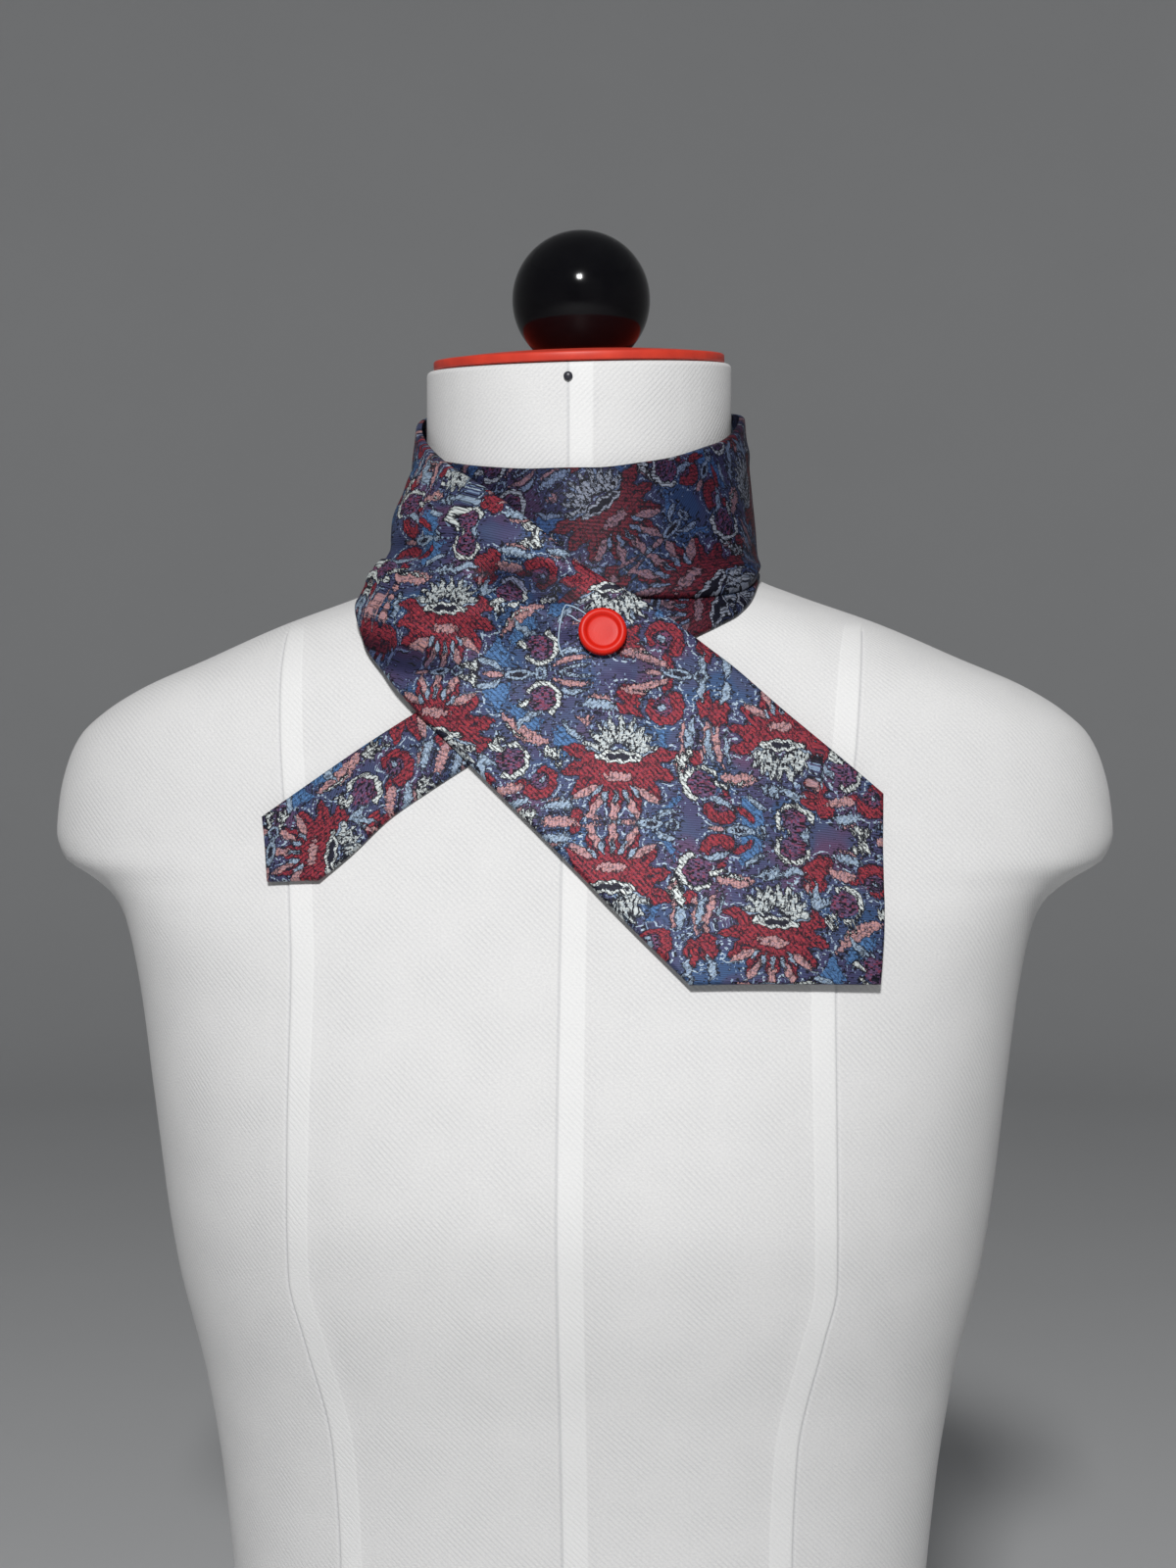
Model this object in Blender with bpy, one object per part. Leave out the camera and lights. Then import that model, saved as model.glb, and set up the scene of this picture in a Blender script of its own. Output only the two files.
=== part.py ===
"""A necktie worn as a cravat on a limbless dress form.

Lengths in the tables are millimetres, and MM turns them into Blender's metres. +Z is up and the front
faces -Y. The form stands on the plane Z = 0. A turn is an angle round the neck, in degrees: 0 is the
front, 90 the wearer's left (+X), 180 the back, and it goes on past 360 for the next time round.
"""

import math
from typing import NamedTuple

import bmesh
import bpy
import mathutils
import numpy as np

MM = 0.001

CLOTH_THICKNESS = 2.0
SEAM_GAP = 0.3
NECK_TILT = math.radians(7.5)
NECK_ROLL = math.radians(1.1)
NECK_TOP_HEIGHT = 606.0
NECK_RIM_ROUNDING = 2.0
NECK_RIM_ANGLES = (0, math.radians(45), math.radians(90))
FORM_FACETS = 64
# Where a run of the form's rings starts, and the step between them
FORM_RING_RUNS = ((0, 21), (400, 5), (440, 10), (500, 3), (545, 9), (590, 12))
BASE_ROUNDING = 4.0
BASE_EDGE_SCALE = 0.975
NECK_RADIUS = 57.0
NECK_CENTRE_Y = -3.0
SHARP_ANGLE = math.radians(40)

CAP_SCALE = 0.955
CAP_EDGE = 3.6
CAP_DOME = 2.2
CAP_FACETS = 48
# Share of the cap's reach, and the height there
CAP_PROFILE = (
    (0.985, 0.0),
    (1.0, 0.5),
    (1.0, CAP_EDGE - 1.0),
    (0.985, CAP_EDGE - 0.3),
    (0.955, CAP_EDGE),
    (0.65, CAP_EDGE + 0.75 * CAP_DOME),
    (0.33, CAP_EDGE + CAP_DOME),
)
KNOB_RADIUS = 25.7
KNOB_FLAT_AT = 18.4
KNOB_CENTRE_X = 1.6
KNOB_RINGS = 13
KNOB_FACETS = 28
PIN_HEIGHT = 592.8
PIN_FACETS = 16
# Radius and height above the cover
PIN_PROFILE = ((1.6, 0.0), (1.6, 0.4), (1.2, 1.0), (0.5, 1.3))

BUTTON_RADIUS = 8.3
BUTTON_FACETS = 32
# Radius and height above the cloth: the back, the round edge, the rim, and the well inside it
BUTTON_PROFILE = (
    (7.1, 0.0),
    (8.3, 0.8),
    (8.3, 2.5),
    (7.8, 3.2),
    (7.2, 3.4),
    (6.1, 3.25),
    (5.5, 2.6),
    (4.7, 2.5),
    (1.1, 2.5),
)
BUTTON_GAP = 0.3

STEPS_ACROSS = 7
STEPS_ACROSS_WIDE = 13
NARROW_BLADE_COLUMNS = 17
LOWER_BAND_COLUMNS = 56
UPPER_BAND_COLUMNS = 52
WIDE_BLADE_COLUMNS = 84
EVENING_PASSES = 6
LAP_STARTS = 0.3
LAP_LENGTH = 0.4
BLADE_POINT_REACH = 1.6
BLADE_TIP_LIFT = 3.6


class FormSection(NamedTuple):
    """A level section of the form: how far it reaches to each side, to the front and to the back."""

    height: float
    half_width: float
    front: float
    back: float
    squareness: float


FORM_SECTIONS = (
    FormSection(0, 158, 96, 104, 2.2),
    FormSection(70, 146, 93, 94, 2.2),
    FormSection(140, 128, 85, 74, 2.2),
    FormSection(190, 132, 90, 76, 2.2),
    FormSection(232, 138.5, 99, 82, 2.2),
    FormSection(276, 149, 112, 90, 2.2),
    FormSection(305, 153.5, 117, 95, 2.2),
    FormSection(340, 157.5, 113, 99, 2.35),
    FormSection(375, 162, 105, 101, 2.5),
    FormSection(400, 167, 98.5, 101, 2.7),
    FormSection(408, 171.5, 96.5, 101, 2.6),
    FormSection(414.5, 180, 95, 100.5, 2.35),
    FormSection(423, 194, 92.5, 100, 2.1),
    FormSection(432, 197.5, 90, 99.5, 2.0),
    FormSection(445, 196.5, 86, 98, 2.0),
    FormSection(458, 193.5, 82.5, 96.5, 2.0),
    FormSection(468.5, 188.5, 79.5, 95, 2.0),
    FormSection(477, 179.5, 77, 93.5, 2.0),
    FormSection(486, 165, 74.5, 91.5, 2.0),
    FormSection(496, 142, 71.5, 89, 2.0),
    FormSection(509, 112, 67.5, 85.5, 2.0),
    FormSection(520, 81, 64.3, 80.5, 2.0),
    FormSection(525, 68.5, 62.9, 77.2, 2.0),
    FormSection(529, 63, 62, 74, 2.0),
    FormSection(534, 60.4, 61.1, 70.5, 2.0),
    FormSection(542, 58.8, 60.2, 66, 2.0),
    FormSection(555, 57.6, 59.5, 61, 2.0),
    FormSection(580, 57, 59.5, 56, 2.0),
    FormSection(620, 57, 60, 54, 2.0),
)


def smooth_columns(rows, at):
    """The rows' values at a height between them, on a curve that never swings past a row."""
    table = np.array(rows, float)
    places = table[:, 0]
    steps = np.diff(places)
    slopes = np.diff(table, axis=0) / steps[:, None]
    tangents = np.zeros_like(table)
    tangents[0] = slopes[0]
    tangents[-1] = slopes[-1]
    before = slopes[:-1]
    after = slopes[1:]
    same_way = before * after > 0
    weight = 2 * steps[1:, None] + steps[:-1, None]
    other = steps[1:, None] + 2 * steps[:-1, None]
    with np.errstate(divide="ignore", invalid="ignore"):
        mean = (weight + other) / (weight / before + other / after)
    tangents[1:-1] = np.where(same_way, mean, 0)
    at = np.clip(np.asarray(at, float), places[0], places[-1])
    row = np.clip(np.searchsorted(places, at) - 1, 0, len(steps) - 1)
    step = steps[row][..., None]
    part = ((at - places[row])[..., None]) / step
    return (
        table[row] * (1 + 2 * part) * (1 - part) ** 2
        + tangents[row] * step * part * (1 - part) ** 2
        + table[row + 1] * part**2 * (3 - 2 * part)
        - tangents[row + 1] * step * part**2 * (1 - part)
    )


def form_fraction(points):
    """1 on the form's surface, less inside it and more outside it."""
    _, half_width, front, back, squareness = smooth_columns(
        FORM_SECTIONS, points[..., 2]
    ).T
    depth = np.where(points[..., 1].T < 0, front, back)
    across = np.abs(points[..., 0].T) / half_width
    along = np.abs(points[..., 1].T) / depth
    return ((across**squareness + along**squareness) ** (1 / squareness)).T


def form_slope(points):
    """The gradient of form_fraction."""
    probe = 0.05
    slope = np.zeros_like(points)
    for axis in range(3):
        shift = np.zeros(3)
        shift[axis] = probe
        ahead = form_fraction(points + shift)
        behind = form_fraction(points - shift)
        slope[..., axis] = (ahead - behind) / (2 * probe)
    return slope


def seat_on_form(points, lift, keep_outside=False):
    """The points moved square to the form's surface until they are the lift outside it.

    With keep_outside, a point that is farther out already stays where it is.
    """
    points = np.array(points, float)
    for _ in range(6):
        slope = form_slope(points)
        length = np.linalg.norm(slope, axis=-1, keepdims=True)
        out = (form_fraction(points)[..., None] - 1) / length
        move = np.asarray(lift)[..., None] - out
        if keep_outside:
            move = np.maximum(move, 0)
        points += slope / length * move
    return points


def front_points(across, heights, lift):
    """The points this far across and this high that lie the lift off the front of the form."""
    points = np.column_stack([across, np.full(len(across), -70.0), heights])
    for _ in range(25):
        slope = form_slope(points)
        length = np.linalg.norm(slope, axis=-1)
        out = (form_fraction(points) - 1) / length
        toward = np.minimum(slope[:, 1] / length, -0.25)
        points[:, 1] += (lift - out) / toward
    return points


class TurnRow(NamedTuple):
    """Where a stretch crosses one turn: its edges' heights, and how far each lies off the form."""

    turn: float
    upper: float
    lower: float
    upper_lift: float
    lower_lift: float
    lower_reach: float = 60.0

    def edges(self):
        """The edges' inner points; the lower reach is about how far the lower one lies from the axis."""
        angle = math.radians(self.turn)
        out = np.array([math.sin(angle), -math.cos(angle), 0])
        points = out * [[60], [self.lower_reach]]
        points[:, 2] = self.upper, self.lower
        return seat_on_form(points, np.array([self.upper_lift, self.lower_lift]))


class FrontRow(NamedTuple):
    """Where a stretch on the front is crossed at a slant: its edges' outer corners and their lifts."""

    upper_across: float
    upper: float
    lower_across: float
    lower: float
    upper_lift: float
    lower_lift: float

    def edges(self):
        """The edges' inner points, under the outer corners."""
        across = np.array([self.upper_across, self.lower_across])
        heights = np.array([self.upper, self.lower])
        lifts = np.array([self.upper_lift, self.lower_lift])
        corners = front_points(across, heights, lifts + CLOTH_THICKNESS)
        return seat_on_form(corners, lifts)


class Fold(NamedTuple):
    """A soft ridge in the cloth: its middle, its slope from level in degrees, and its size."""

    across: float
    height: float
    slope: float
    half_length: float
    half_width: float
    rise: float


NARROW_BLADE_ROWS = (
    FrontRow(-105, 439, -83, 418, 2.2, 2.0),
    FrontRow(-87, 451.5, -72.5, 426.5, 1.2, 1.2),
    FrontRow(-68, 464.5, -59, 439, 0.6, 0.6),
    FrontRow(-51.5, 475, -46, 448, 0.5, 0.5),
    FrontRow(-28, 489, -20.5, 464, 0.5, 0.5),
    FrontRow(-7, 501.5, 0, 475.5, 0.5, 0.5),
)
NARROW_TIP = (-101.5, 417)

LOWER_BAND_ROWS = (
    FrontRow(-6.6, 501.7, 0.4, 475.7, 0.5, 0.5),
    FrontRow(14, 515, 21, 488, 0.5, 0.5),
    FrontRow(33, 530, 38, 498, 0.5, 0.5),
    TurnRow(41, 540, 504.8, 0.5, 0.5, 81),
    TurnRow(46, 544, 508.2, 0.5, 0.5, 82),
    TurnRow(52, 548, 513.2, 0.5, 0.5, 80.5),
    TurnRow(58.5, 551.5, 518, 0.5, 0.5, 76.5),
    TurnRow(75, 558, 524.2, 0.5, 0.5, 69),
    TurnRow(90, 563, 528.5, 0.5, 0.5, 64),
    TurnRow(135, 573, 537, 0.5, 0.5),
    TurnRow(180, 578, 541, 0.5, 0.5),
    TurnRow(225, 578, 539, 0.5, 0.5),
    TurnRow(270, 573, 530, 0.5, 0.5),
    TurnRow(285, 570, 526, 0.5, 0.5),
)

UPPER_BAND_ROWS = (
    TurnRow(285.8, 570, 525.8, 0.5, 0.5),
    TurnRow(300, 568, 521, 0.5, 0.5),
    TurnRow(330, 562.5, 515.5, 0.5, 0.5),
    TurnRow(350, 560.5, 513.5, 1.4, 1.6),
    TurnRow(368, 560.5, 513.2, 2.6, 2.9),
    TurnRow(385, 563, 513.5, 2.9, 2.9, 71),
    TurnRow(394, 565, 514, 2.9, 2.9, 75),
    TurnRow(402, 567.5, 515.4, 2.9, 2.9, 78),
    TurnRow(412, 571, 517.8, 2.9, 2.9, 79),
    TurnRow(420, 573.5, 521, 2.9, 3.0, 75),
    TurnRow(435, 580, 526.5, 2.9, 3.2, 68),
    TurnRow(450, 587, 531, 2.9, 3.15, 64.5),
    TurnRow(475, 592.5, 536, 2.9, 3.0),
    TurnRow(500, 595.5, 537.5, 2.9, 2.9),
)

WIDE_BLADE_ROWS = (
    TurnRow(500.8, 595.5, 537.5, 2.9, 2.9),
    TurnRow(540, 597, 537, 2.9, 2.9),
    TurnRow(585, 595, 531, 2.9, 2.9),
    TurnRow(612, 591.5, 524.5, 2.2, 2.9),
    TurnRow(632, 586, 519, 1.6, 3.1),
    TurnRow(648, 579, 517, 2.3, 3.2),
    FrontRow(-54, 572.5, -75, 512, 2.9, 3.1),
    FrontRow(-46, 565, -72, 500.5, 3.3, 2.9),
    FrontRow(-31, 555, -63.5, 489, 4.3, 2.9),
    FrontRow(-12, 541, -51.5, 475.5, 6.0, 2.9),
    FrontRow(8, 524.5, -35, 460, 6.9, 2.9),
    FrontRow(30, 512, -15.5, 441.5, 5.4, 2.9),
    FrontRow(52.5, 495, 3, 423.5, 2.9, 2.9),
    FrontRow(80, 471.5, 22, 404.5, 2.9, 2.9),
    FrontRow(109, 447, 43.5, 384, 3.4, 3.4),
)
WIDE_TIP = (106.5, 383)

WIDE_BLADE_FOLDS = (
    Fold(-36, 538, -16, 28, 9, 2.6),
    Fold(-30, 507, 2, 36, 9, 2.8),
    Fold(-40, 482, -12, 26, 8, 1.5),
)

BUTTON_ACROSS = 13.0
BUTTON_HEIGHT = 501.7


def rise_of_folds(points, folds):
    """How far the folds lift the cloth at these points of the front."""
    rise = np.zeros(points.shape[:-1])
    for fold in folds:
        angle = math.radians(fold.slope)
        across = points[..., 0] - fold.across
        height = points[..., 2] - fold.height
        along = across * math.cos(angle) + height * math.sin(angle)
        aside = height * math.cos(angle) - across * math.sin(angle)
        shape = np.exp(
            -((along / fold.half_length) ** 2) - (aside / fold.half_width) ** 2
        )
        rise += fold.rise * np.where(points[..., 1] < -20, shape, 0)
    return rise


def ease(part):
    part = np.clip(part, 0, 1)
    return part * part * (3 - 2 * part)


def distance_from_form(points):
    return (form_fraction(points) - 1) / np.linalg.norm(form_slope(points), axis=-1)


def evened(off, least):
    """Distances off the form, evened out between neighbours and never less than the least."""
    for _ in range(EVENING_PASSES):
        middle = off[1:-1, 1:-1]
        around = off[:-2, 1:-1] + off[2:, 1:-1] + off[1:-1, :-2] + off[1:-1, 2:]
        off = off.copy()
        off[1:-1, 1:-1] = np.maximum((middle * 2 + around) / 6, least[1:-1, 1:-1])
    return off


def drawn_to_point(grid, tip, down):
    """The grid of a blade with its end columns drawn out to the blade's point."""
    at_start = tip[0] < 0
    end = grid[0] if at_start else grid[-1]
    point = front_points(*np.array([[tip[0]], [tip[1]], [BLADE_TIP_LIFT]]))[0]
    share = down[:, None] * 2
    to_point = end[0] + (point - end[0]) * share
    from_point = point + (end[-1] - point) * (share - 1)
    pull = np.where(share < 1, to_point, from_point) - end
    reach = np.linalg.norm(pull, axis=1).max() * BLADE_POINT_REACH
    middle = grid[:, len(down) // 2]
    away = np.linalg.norm(middle - (middle[0] if at_start else middle[-1]), axis=1)
    return grid + pull[None] * np.clip(1 - away / reach, 0, 1)[:, None, None]


def stretch_points(rows, columns, steps_across, tip=None, folds=(), taut=True):
    """The inner points of a stretch of cloth: columns from end to end, each with its steps across.

    A taut stretch spans the hollows under it, and one that isn't taut follows them.
    """
    edges = np.array([row.edges() for row in rows])
    upper, lower = edges[:, 0], edges[:, 1]
    lifts = np.array([(row.upper_lift, row.lower_lift) for row in rows])
    spans = np.linalg.norm(np.diff((upper + lower) / 2, axis=0), axis=1)
    places = np.concatenate([[0], np.cumsum(spans)])
    values = smooth_columns(
        np.column_stack([places, upper, lower, lifts]),
        np.linspace(0, places[-1], columns),
    )
    upper = seat_on_form(values[:, 1:4], values[:, 7])
    lower = seat_on_form(values[:, 4:7], values[:, 8])
    down = np.linspace(0, 1, steps_across)
    share = down[None, :, None]
    grid = upper[:, None] * (1 - share) + lower[:, None] * share
    drop = (values[:, 8] - values[:, 7])[:, None]
    lift = values[:, 7][:, None] + drop * ease((down - LAP_STARTS) / LAP_LENGTH)
    if tip is not None:
        grid = drawn_to_point(grid, tip, down)
    grid = seat_on_form(grid, lift, keep_outside=taut)
    off = evened(distance_from_form(grid), lift)
    return seat_on_form(grid, off + rise_of_folds(grid, folds))


def outer_points(inner):
    return seat_on_form(inner, distance_from_form(inner) + CLOTH_THICKNESS)


def material(name, colour, roughness, coat=0.0):
    made = bpy.data.materials.new(name)
    made.use_nodes = True
    shader = made.node_tree.nodes["Principled BSDF"]
    shader.inputs["Base Color"].default_value = (*colour, 1)
    shader.inputs["Roughness"].default_value = roughness
    shader.inputs["Metallic"].default_value = 0.0
    shader.inputs["Coat Weight"].default_value = coat
    made.diffuse_color = (*colour, 1)
    return made


def add_object(name, mesh_maker, finish):
    """A named object whose mesh the maker fills in millimetres."""
    body = bmesh.new()
    mesh_maker(body)
    bmesh.ops.scale(body, vec=(MM, MM, MM), verts=body.verts)
    bmesh.ops.recalc_face_normals(body, faces=body.faces)
    mesh = bpy.data.meshes.new(name)
    body.to_mesh(mesh)
    body.free()
    mesh.shade_smooth()
    mesh.set_sharp_from_angle(angle=SHARP_ANGLE)
    mesh.materials.append(finish)
    made = bpy.data.objects.new(name, mesh)
    bpy.context.collection.objects.link(made)
    return made


def add_rings(body, rings):
    """Closes a stack of rings, lowest first, into one solid with a flat fan at each end."""
    loops = [[body.verts.new(point) for point in ring] for ring in rings]
    count = len(loops[0])
    for below, above in zip(loops, loops[1:]):
        for k in range(count):
            after = (k + 1) % count
            body.faces.new((below[k], below[after], above[after], above[k]))
    for loop in (loops[0], loops[-1]):
        centre = body.verts.new(np.mean([vertex.co for vertex in loop], axis=0))
        for k in range(count):
            body.faces.new((loop[(k + 1) % count], loop[k], centre))


def form_ring(height, count, scale=1.0, tilt=0.0, roll=0.0):
    """A ring of the form's surface, level or tilted to the front and to one side at its height."""
    angles = np.linspace(0, 2 * math.pi, count, endpoint=False)
    _, half_width, front, back, squareness = smooth_columns(FORM_SECTIONS, height)
    sine = np.sin(angles)
    cosine = np.cos(angles)
    power = 2 / squareness
    x = half_width * np.sign(sine) * np.abs(sine) ** power
    depth = np.where(cosine > 0, front, back)
    y = -depth * np.sign(cosine) * np.abs(cosine) ** power
    z = np.full(count, height) + y * math.tan(tilt) + x * math.tan(roll)
    return np.column_stack([x * scale, y * scale, z])


def ring_heights():
    heights = []
    for (start, step), (end, _) in zip(FORM_RING_RUNS, FORM_RING_RUNS[1:]):
        heights += list(np.linspace(start, end, round((end - start) / step), endpoint=False))
    return heights


def torso_mesh(body):
    rings = [form_ring(0, FORM_FACETS, BASE_EDGE_SCALE)]
    rings += [form_ring(max(height, BASE_ROUNDING), FORM_FACETS) for height in ring_heights()]
    for angle in NECK_RIM_ANGLES:
        inset = NECK_RIM_ROUNDING * (1 - math.cos(angle))
        drop = NECK_RIM_ROUNDING * (1 - math.sin(angle))
        scale = 1 - inset / NECK_RADIUS
        height = NECK_TOP_HEIGHT - drop
        rings.append(form_ring(height, FORM_FACETS, scale, NECK_TILT, NECK_ROLL))
    add_rings(body, rings)


def on_neck_plate(body):
    """Stands a mesh made on the plane Z = 0 on the neck's tilted top."""
    turn = mathutils.Matrix.Rotation(NECK_TILT, 4, "X")
    turn = mathutils.Matrix.Rotation(-NECK_ROLL, 4, "Y") @ turn
    place = mathutils.Matrix.Translation((0, 0, NECK_TOP_HEIGHT + SEAM_GAP))
    bmesh.ops.transform(body, matrix=place @ turn, verts=body.verts)


def cap_mesh(body):
    rings = []
    for scale, height in CAP_PROFILE:
        ring = form_ring(NECK_TOP_HEIGHT, CAP_FACETS, CAP_SCALE * scale)
        ring[:, 2] = height
        rings.append(ring)
    add_rings(body, rings)
    on_neck_plate(body)


def turned_rings(profile, facets, centre_y=0.0):
    """Rings of a turned piece, from its profile of radius and height, lowest first."""
    angles = np.linspace(0, 2 * math.pi, facets, endpoint=False)
    circle = np.column_stack([np.sin(angles), -np.cos(angles), np.zeros(facets)])
    return [circle * radius + (0, centre_y, height) for radius, height in profile]


def knob_mesh(body):
    """A ball with a small flat where it is screwed down."""
    lowest = -math.asin(KNOB_FLAT_AT / KNOB_RADIUS)
    profile = []
    for angle in np.linspace(lowest, math.radians(86), KNOB_RINGS):
        radius = KNOB_RADIUS * math.cos(angle)
        profile.append((radius, KNOB_FLAT_AT + KNOB_RADIUS * math.sin(angle)))
    add_rings(body, turned_rings(profile, KNOB_FACETS, NECK_CENTRE_Y))
    cap_height = CAP_EDGE + CAP_DOME + SEAM_GAP
    bmesh.ops.translate(body, vec=(KNOB_CENTRE_X, 0, cap_height), verts=body.verts)
    on_neck_plate(body)


def facing_out(place, toward):
    """A matrix that stands +Z on a place of the surface, square to it."""
    turn = mathutils.Vector(toward).to_track_quat("Z", "Y").to_matrix().to_4x4()
    return mathutils.Matrix.Translation(place) @ turn


def pin_mesh(body):
    add_rings(body, turned_rings(PIN_PROFILE, PIN_FACETS))
    place = seat_on_form([[0, -60, PIN_HEIGHT]], np.array([SEAM_GAP]))
    toward = form_slope(place)[0]
    bmesh.ops.transform(body, matrix=facing_out(place[0], toward), verts=body.verts)


def wall_mesh(body, inner, outer):
    """Closes two grids of points, face to face, into one wall."""
    columns, steps, _ = inner.shape
    inside = [[body.verts.new(p) for p in column] for column in inner]
    outside = [[body.verts.new(p) for p in column] for column in outer]
    for i in range(columns - 1):
        for j in range(steps - 1):
            a, b, c, d = (i, j), (i + 1, j), (i + 1, j + 1), (i, j + 1)
            body.faces.new([outside[m][n] for m, n in (a, b, c, d)])
            body.faces.new([inside[m][n] for m, n in (d, c, b, a)])
    around = [(i, 0) for i in range(columns)]
    around += [(columns - 1, j) for j in range(1, steps)]
    around += [(i, steps - 1) for i in range(columns - 2, -1, -1)]
    around += [(0, j) for j in range(steps - 2, 0, -1)]
    for (m, n), (p, q) in zip(around, around[1:] + around[:1]):
        body.faces.new((outside[p][q], outside[m][n], inside[m][n], inside[p][q]))


def add_stretch(name, inner, finish):
    outer = outer_points(inner)
    add_object(name, lambda body: wall_mesh(body, inner, outer), finish)
    return outer


def add_button(blade_outer, finish):
    """The button lies on the plane that best fits the wide blade under it."""
    aim = np.array([BUTTON_ACROSS, BUTTON_HEIGHT])
    off = np.linalg.norm(blade_outer[..., [0, 2]] - aim, axis=-1)
    under = blade_outer[(off < BUTTON_RADIUS) & (blade_outer[..., 1] < 0)]
    middle = under.mean(axis=0)
    toward = np.linalg.svd(under - middle)[2][2]
    toward *= -np.sign(toward[1])
    highest = ((under - middle) @ toward).max()
    centre = np.array([BUTTON_ACROSS, 0, BUTTON_HEIGHT])
    centre[1] = (middle - centre) @ toward / toward[1]
    place = centre + toward * (highest + BUTTON_GAP)

    def button_mesh(body):
        add_rings(body, turned_rings(BUTTON_PROFILE, BUTTON_FACETS))
        bmesh.ops.transform(body, matrix=facing_out(place, toward), verts=body.verts)

    add_object("button", button_mesh, finish)


def clear_scene():
    for leftover in list(bpy.data.objects):
        bpy.data.objects.remove(leftover, do_unlink=True)


def main():
    clear_scene()
    cover = material("form_cover", (0.83, 0.84, 0.86), 0.85)
    cap_red = material("cap_red", (0.80, 0.07, 0.04), 0.45)
    knob_black = material("knob_black", (0.012, 0.012, 0.013), 0.12, 0.6)
    pin_dark = material("pin_dark", (0.03, 0.03, 0.04), 0.35)
    add_object("form_torso", torso_mesh, cover)
    add_object("form_neck_cap", cap_mesh, cap_red)
    add_object("form_knob", knob_mesh, knob_black)
    add_object("form_pin", pin_mesh, pin_dark)

    silk = material("silk_jacquard", (0.13, 0.13, 0.27), 0.6)
    steps = STEPS_ACROSS
    columns = NARROW_BLADE_COLUMNS
    narrow = stretch_points(NARROW_BLADE_ROWS, columns, steps, NARROW_TIP, taut=False)
    add_stretch("narrow_blade", narrow, silk)
    lower = stretch_points(LOWER_BAND_ROWS, LOWER_BAND_COLUMNS, steps, taut=False)
    add_stretch("lower_band", lower, silk)
    upper = stretch_points(UPPER_BAND_ROWS, UPPER_BAND_COLUMNS, steps)
    add_stretch("upper_band", upper, silk)
    columns = WIDE_BLADE_COLUMNS
    steps = STEPS_ACROSS_WIDE
    wide = stretch_points(WIDE_BLADE_ROWS, columns, steps, WIDE_TIP, WIDE_BLADE_FOLDS)
    wide_outer = add_stretch("wide_blade", wide, silk)
    add_button(wide_outer, material("button_red", (0.78, 0.06, 0.035), 0.5))


main()
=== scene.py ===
"""The cravat on its dress form: surfaces, materials, light and camera.

Lengths in the tables are millimetres, and MM turns them into the frame's metres. +Z is up and the front
faces -Y. A turn is an angle round the neck, in degrees: 0 is the front, 90 the wearer's left (+X), 180 the
back, and it goes on past 360 for the next time round.
"""

import math
from typing import NamedTuple

import bmesh
import bpy
import numpy as np
from mathutils import Matrix, Vector


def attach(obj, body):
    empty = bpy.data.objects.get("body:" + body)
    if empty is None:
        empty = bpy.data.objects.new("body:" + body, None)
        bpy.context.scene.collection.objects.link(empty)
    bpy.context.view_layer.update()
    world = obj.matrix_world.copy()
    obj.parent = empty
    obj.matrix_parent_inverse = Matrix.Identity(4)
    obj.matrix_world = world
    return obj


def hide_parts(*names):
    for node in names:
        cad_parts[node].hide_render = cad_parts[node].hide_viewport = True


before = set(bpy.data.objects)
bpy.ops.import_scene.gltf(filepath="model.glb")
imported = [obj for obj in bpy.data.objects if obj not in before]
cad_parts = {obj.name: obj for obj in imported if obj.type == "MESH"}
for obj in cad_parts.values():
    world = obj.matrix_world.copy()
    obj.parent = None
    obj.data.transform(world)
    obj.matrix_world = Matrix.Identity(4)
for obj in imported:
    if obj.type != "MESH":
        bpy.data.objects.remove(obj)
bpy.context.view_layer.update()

MM = 0.001

CLOTH_THICKNESS = 2.0
SEAM_GAP = 0.3
NECK_TILT = math.radians(7.5)
NECK_ROLL = math.radians(1.1)
NECK_TOP_HEIGHT = 606.0
NECK_CENTRE_Y = -3.0
NECK_RADIUS = 57.0
BASE_ROUNDING = 4.0
CAP_SCALE = 0.955
CAP_EDGE = 3.6
CAP_DOME = 2.2
KNOB_RADIUS = 25.7
KNOB_FLAT_AT = 18.4
KNOB_CENTRE_X = 1.6
PIN_HEIGHT = 592.8
BUTTON_RADIUS = 8.3
BLADE_POINT_REACH = 1.6
BLADE_TIP_LIFT = 3.6
LAP_STARTS = 0.3
LAP_LENGTH = 0.4


class FormSection(NamedTuple):
    """A level section of the form: how far it reaches to each side, to the front and to the back."""

    height: float
    half_width: float
    front: float
    back: float
    squareness: float


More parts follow.
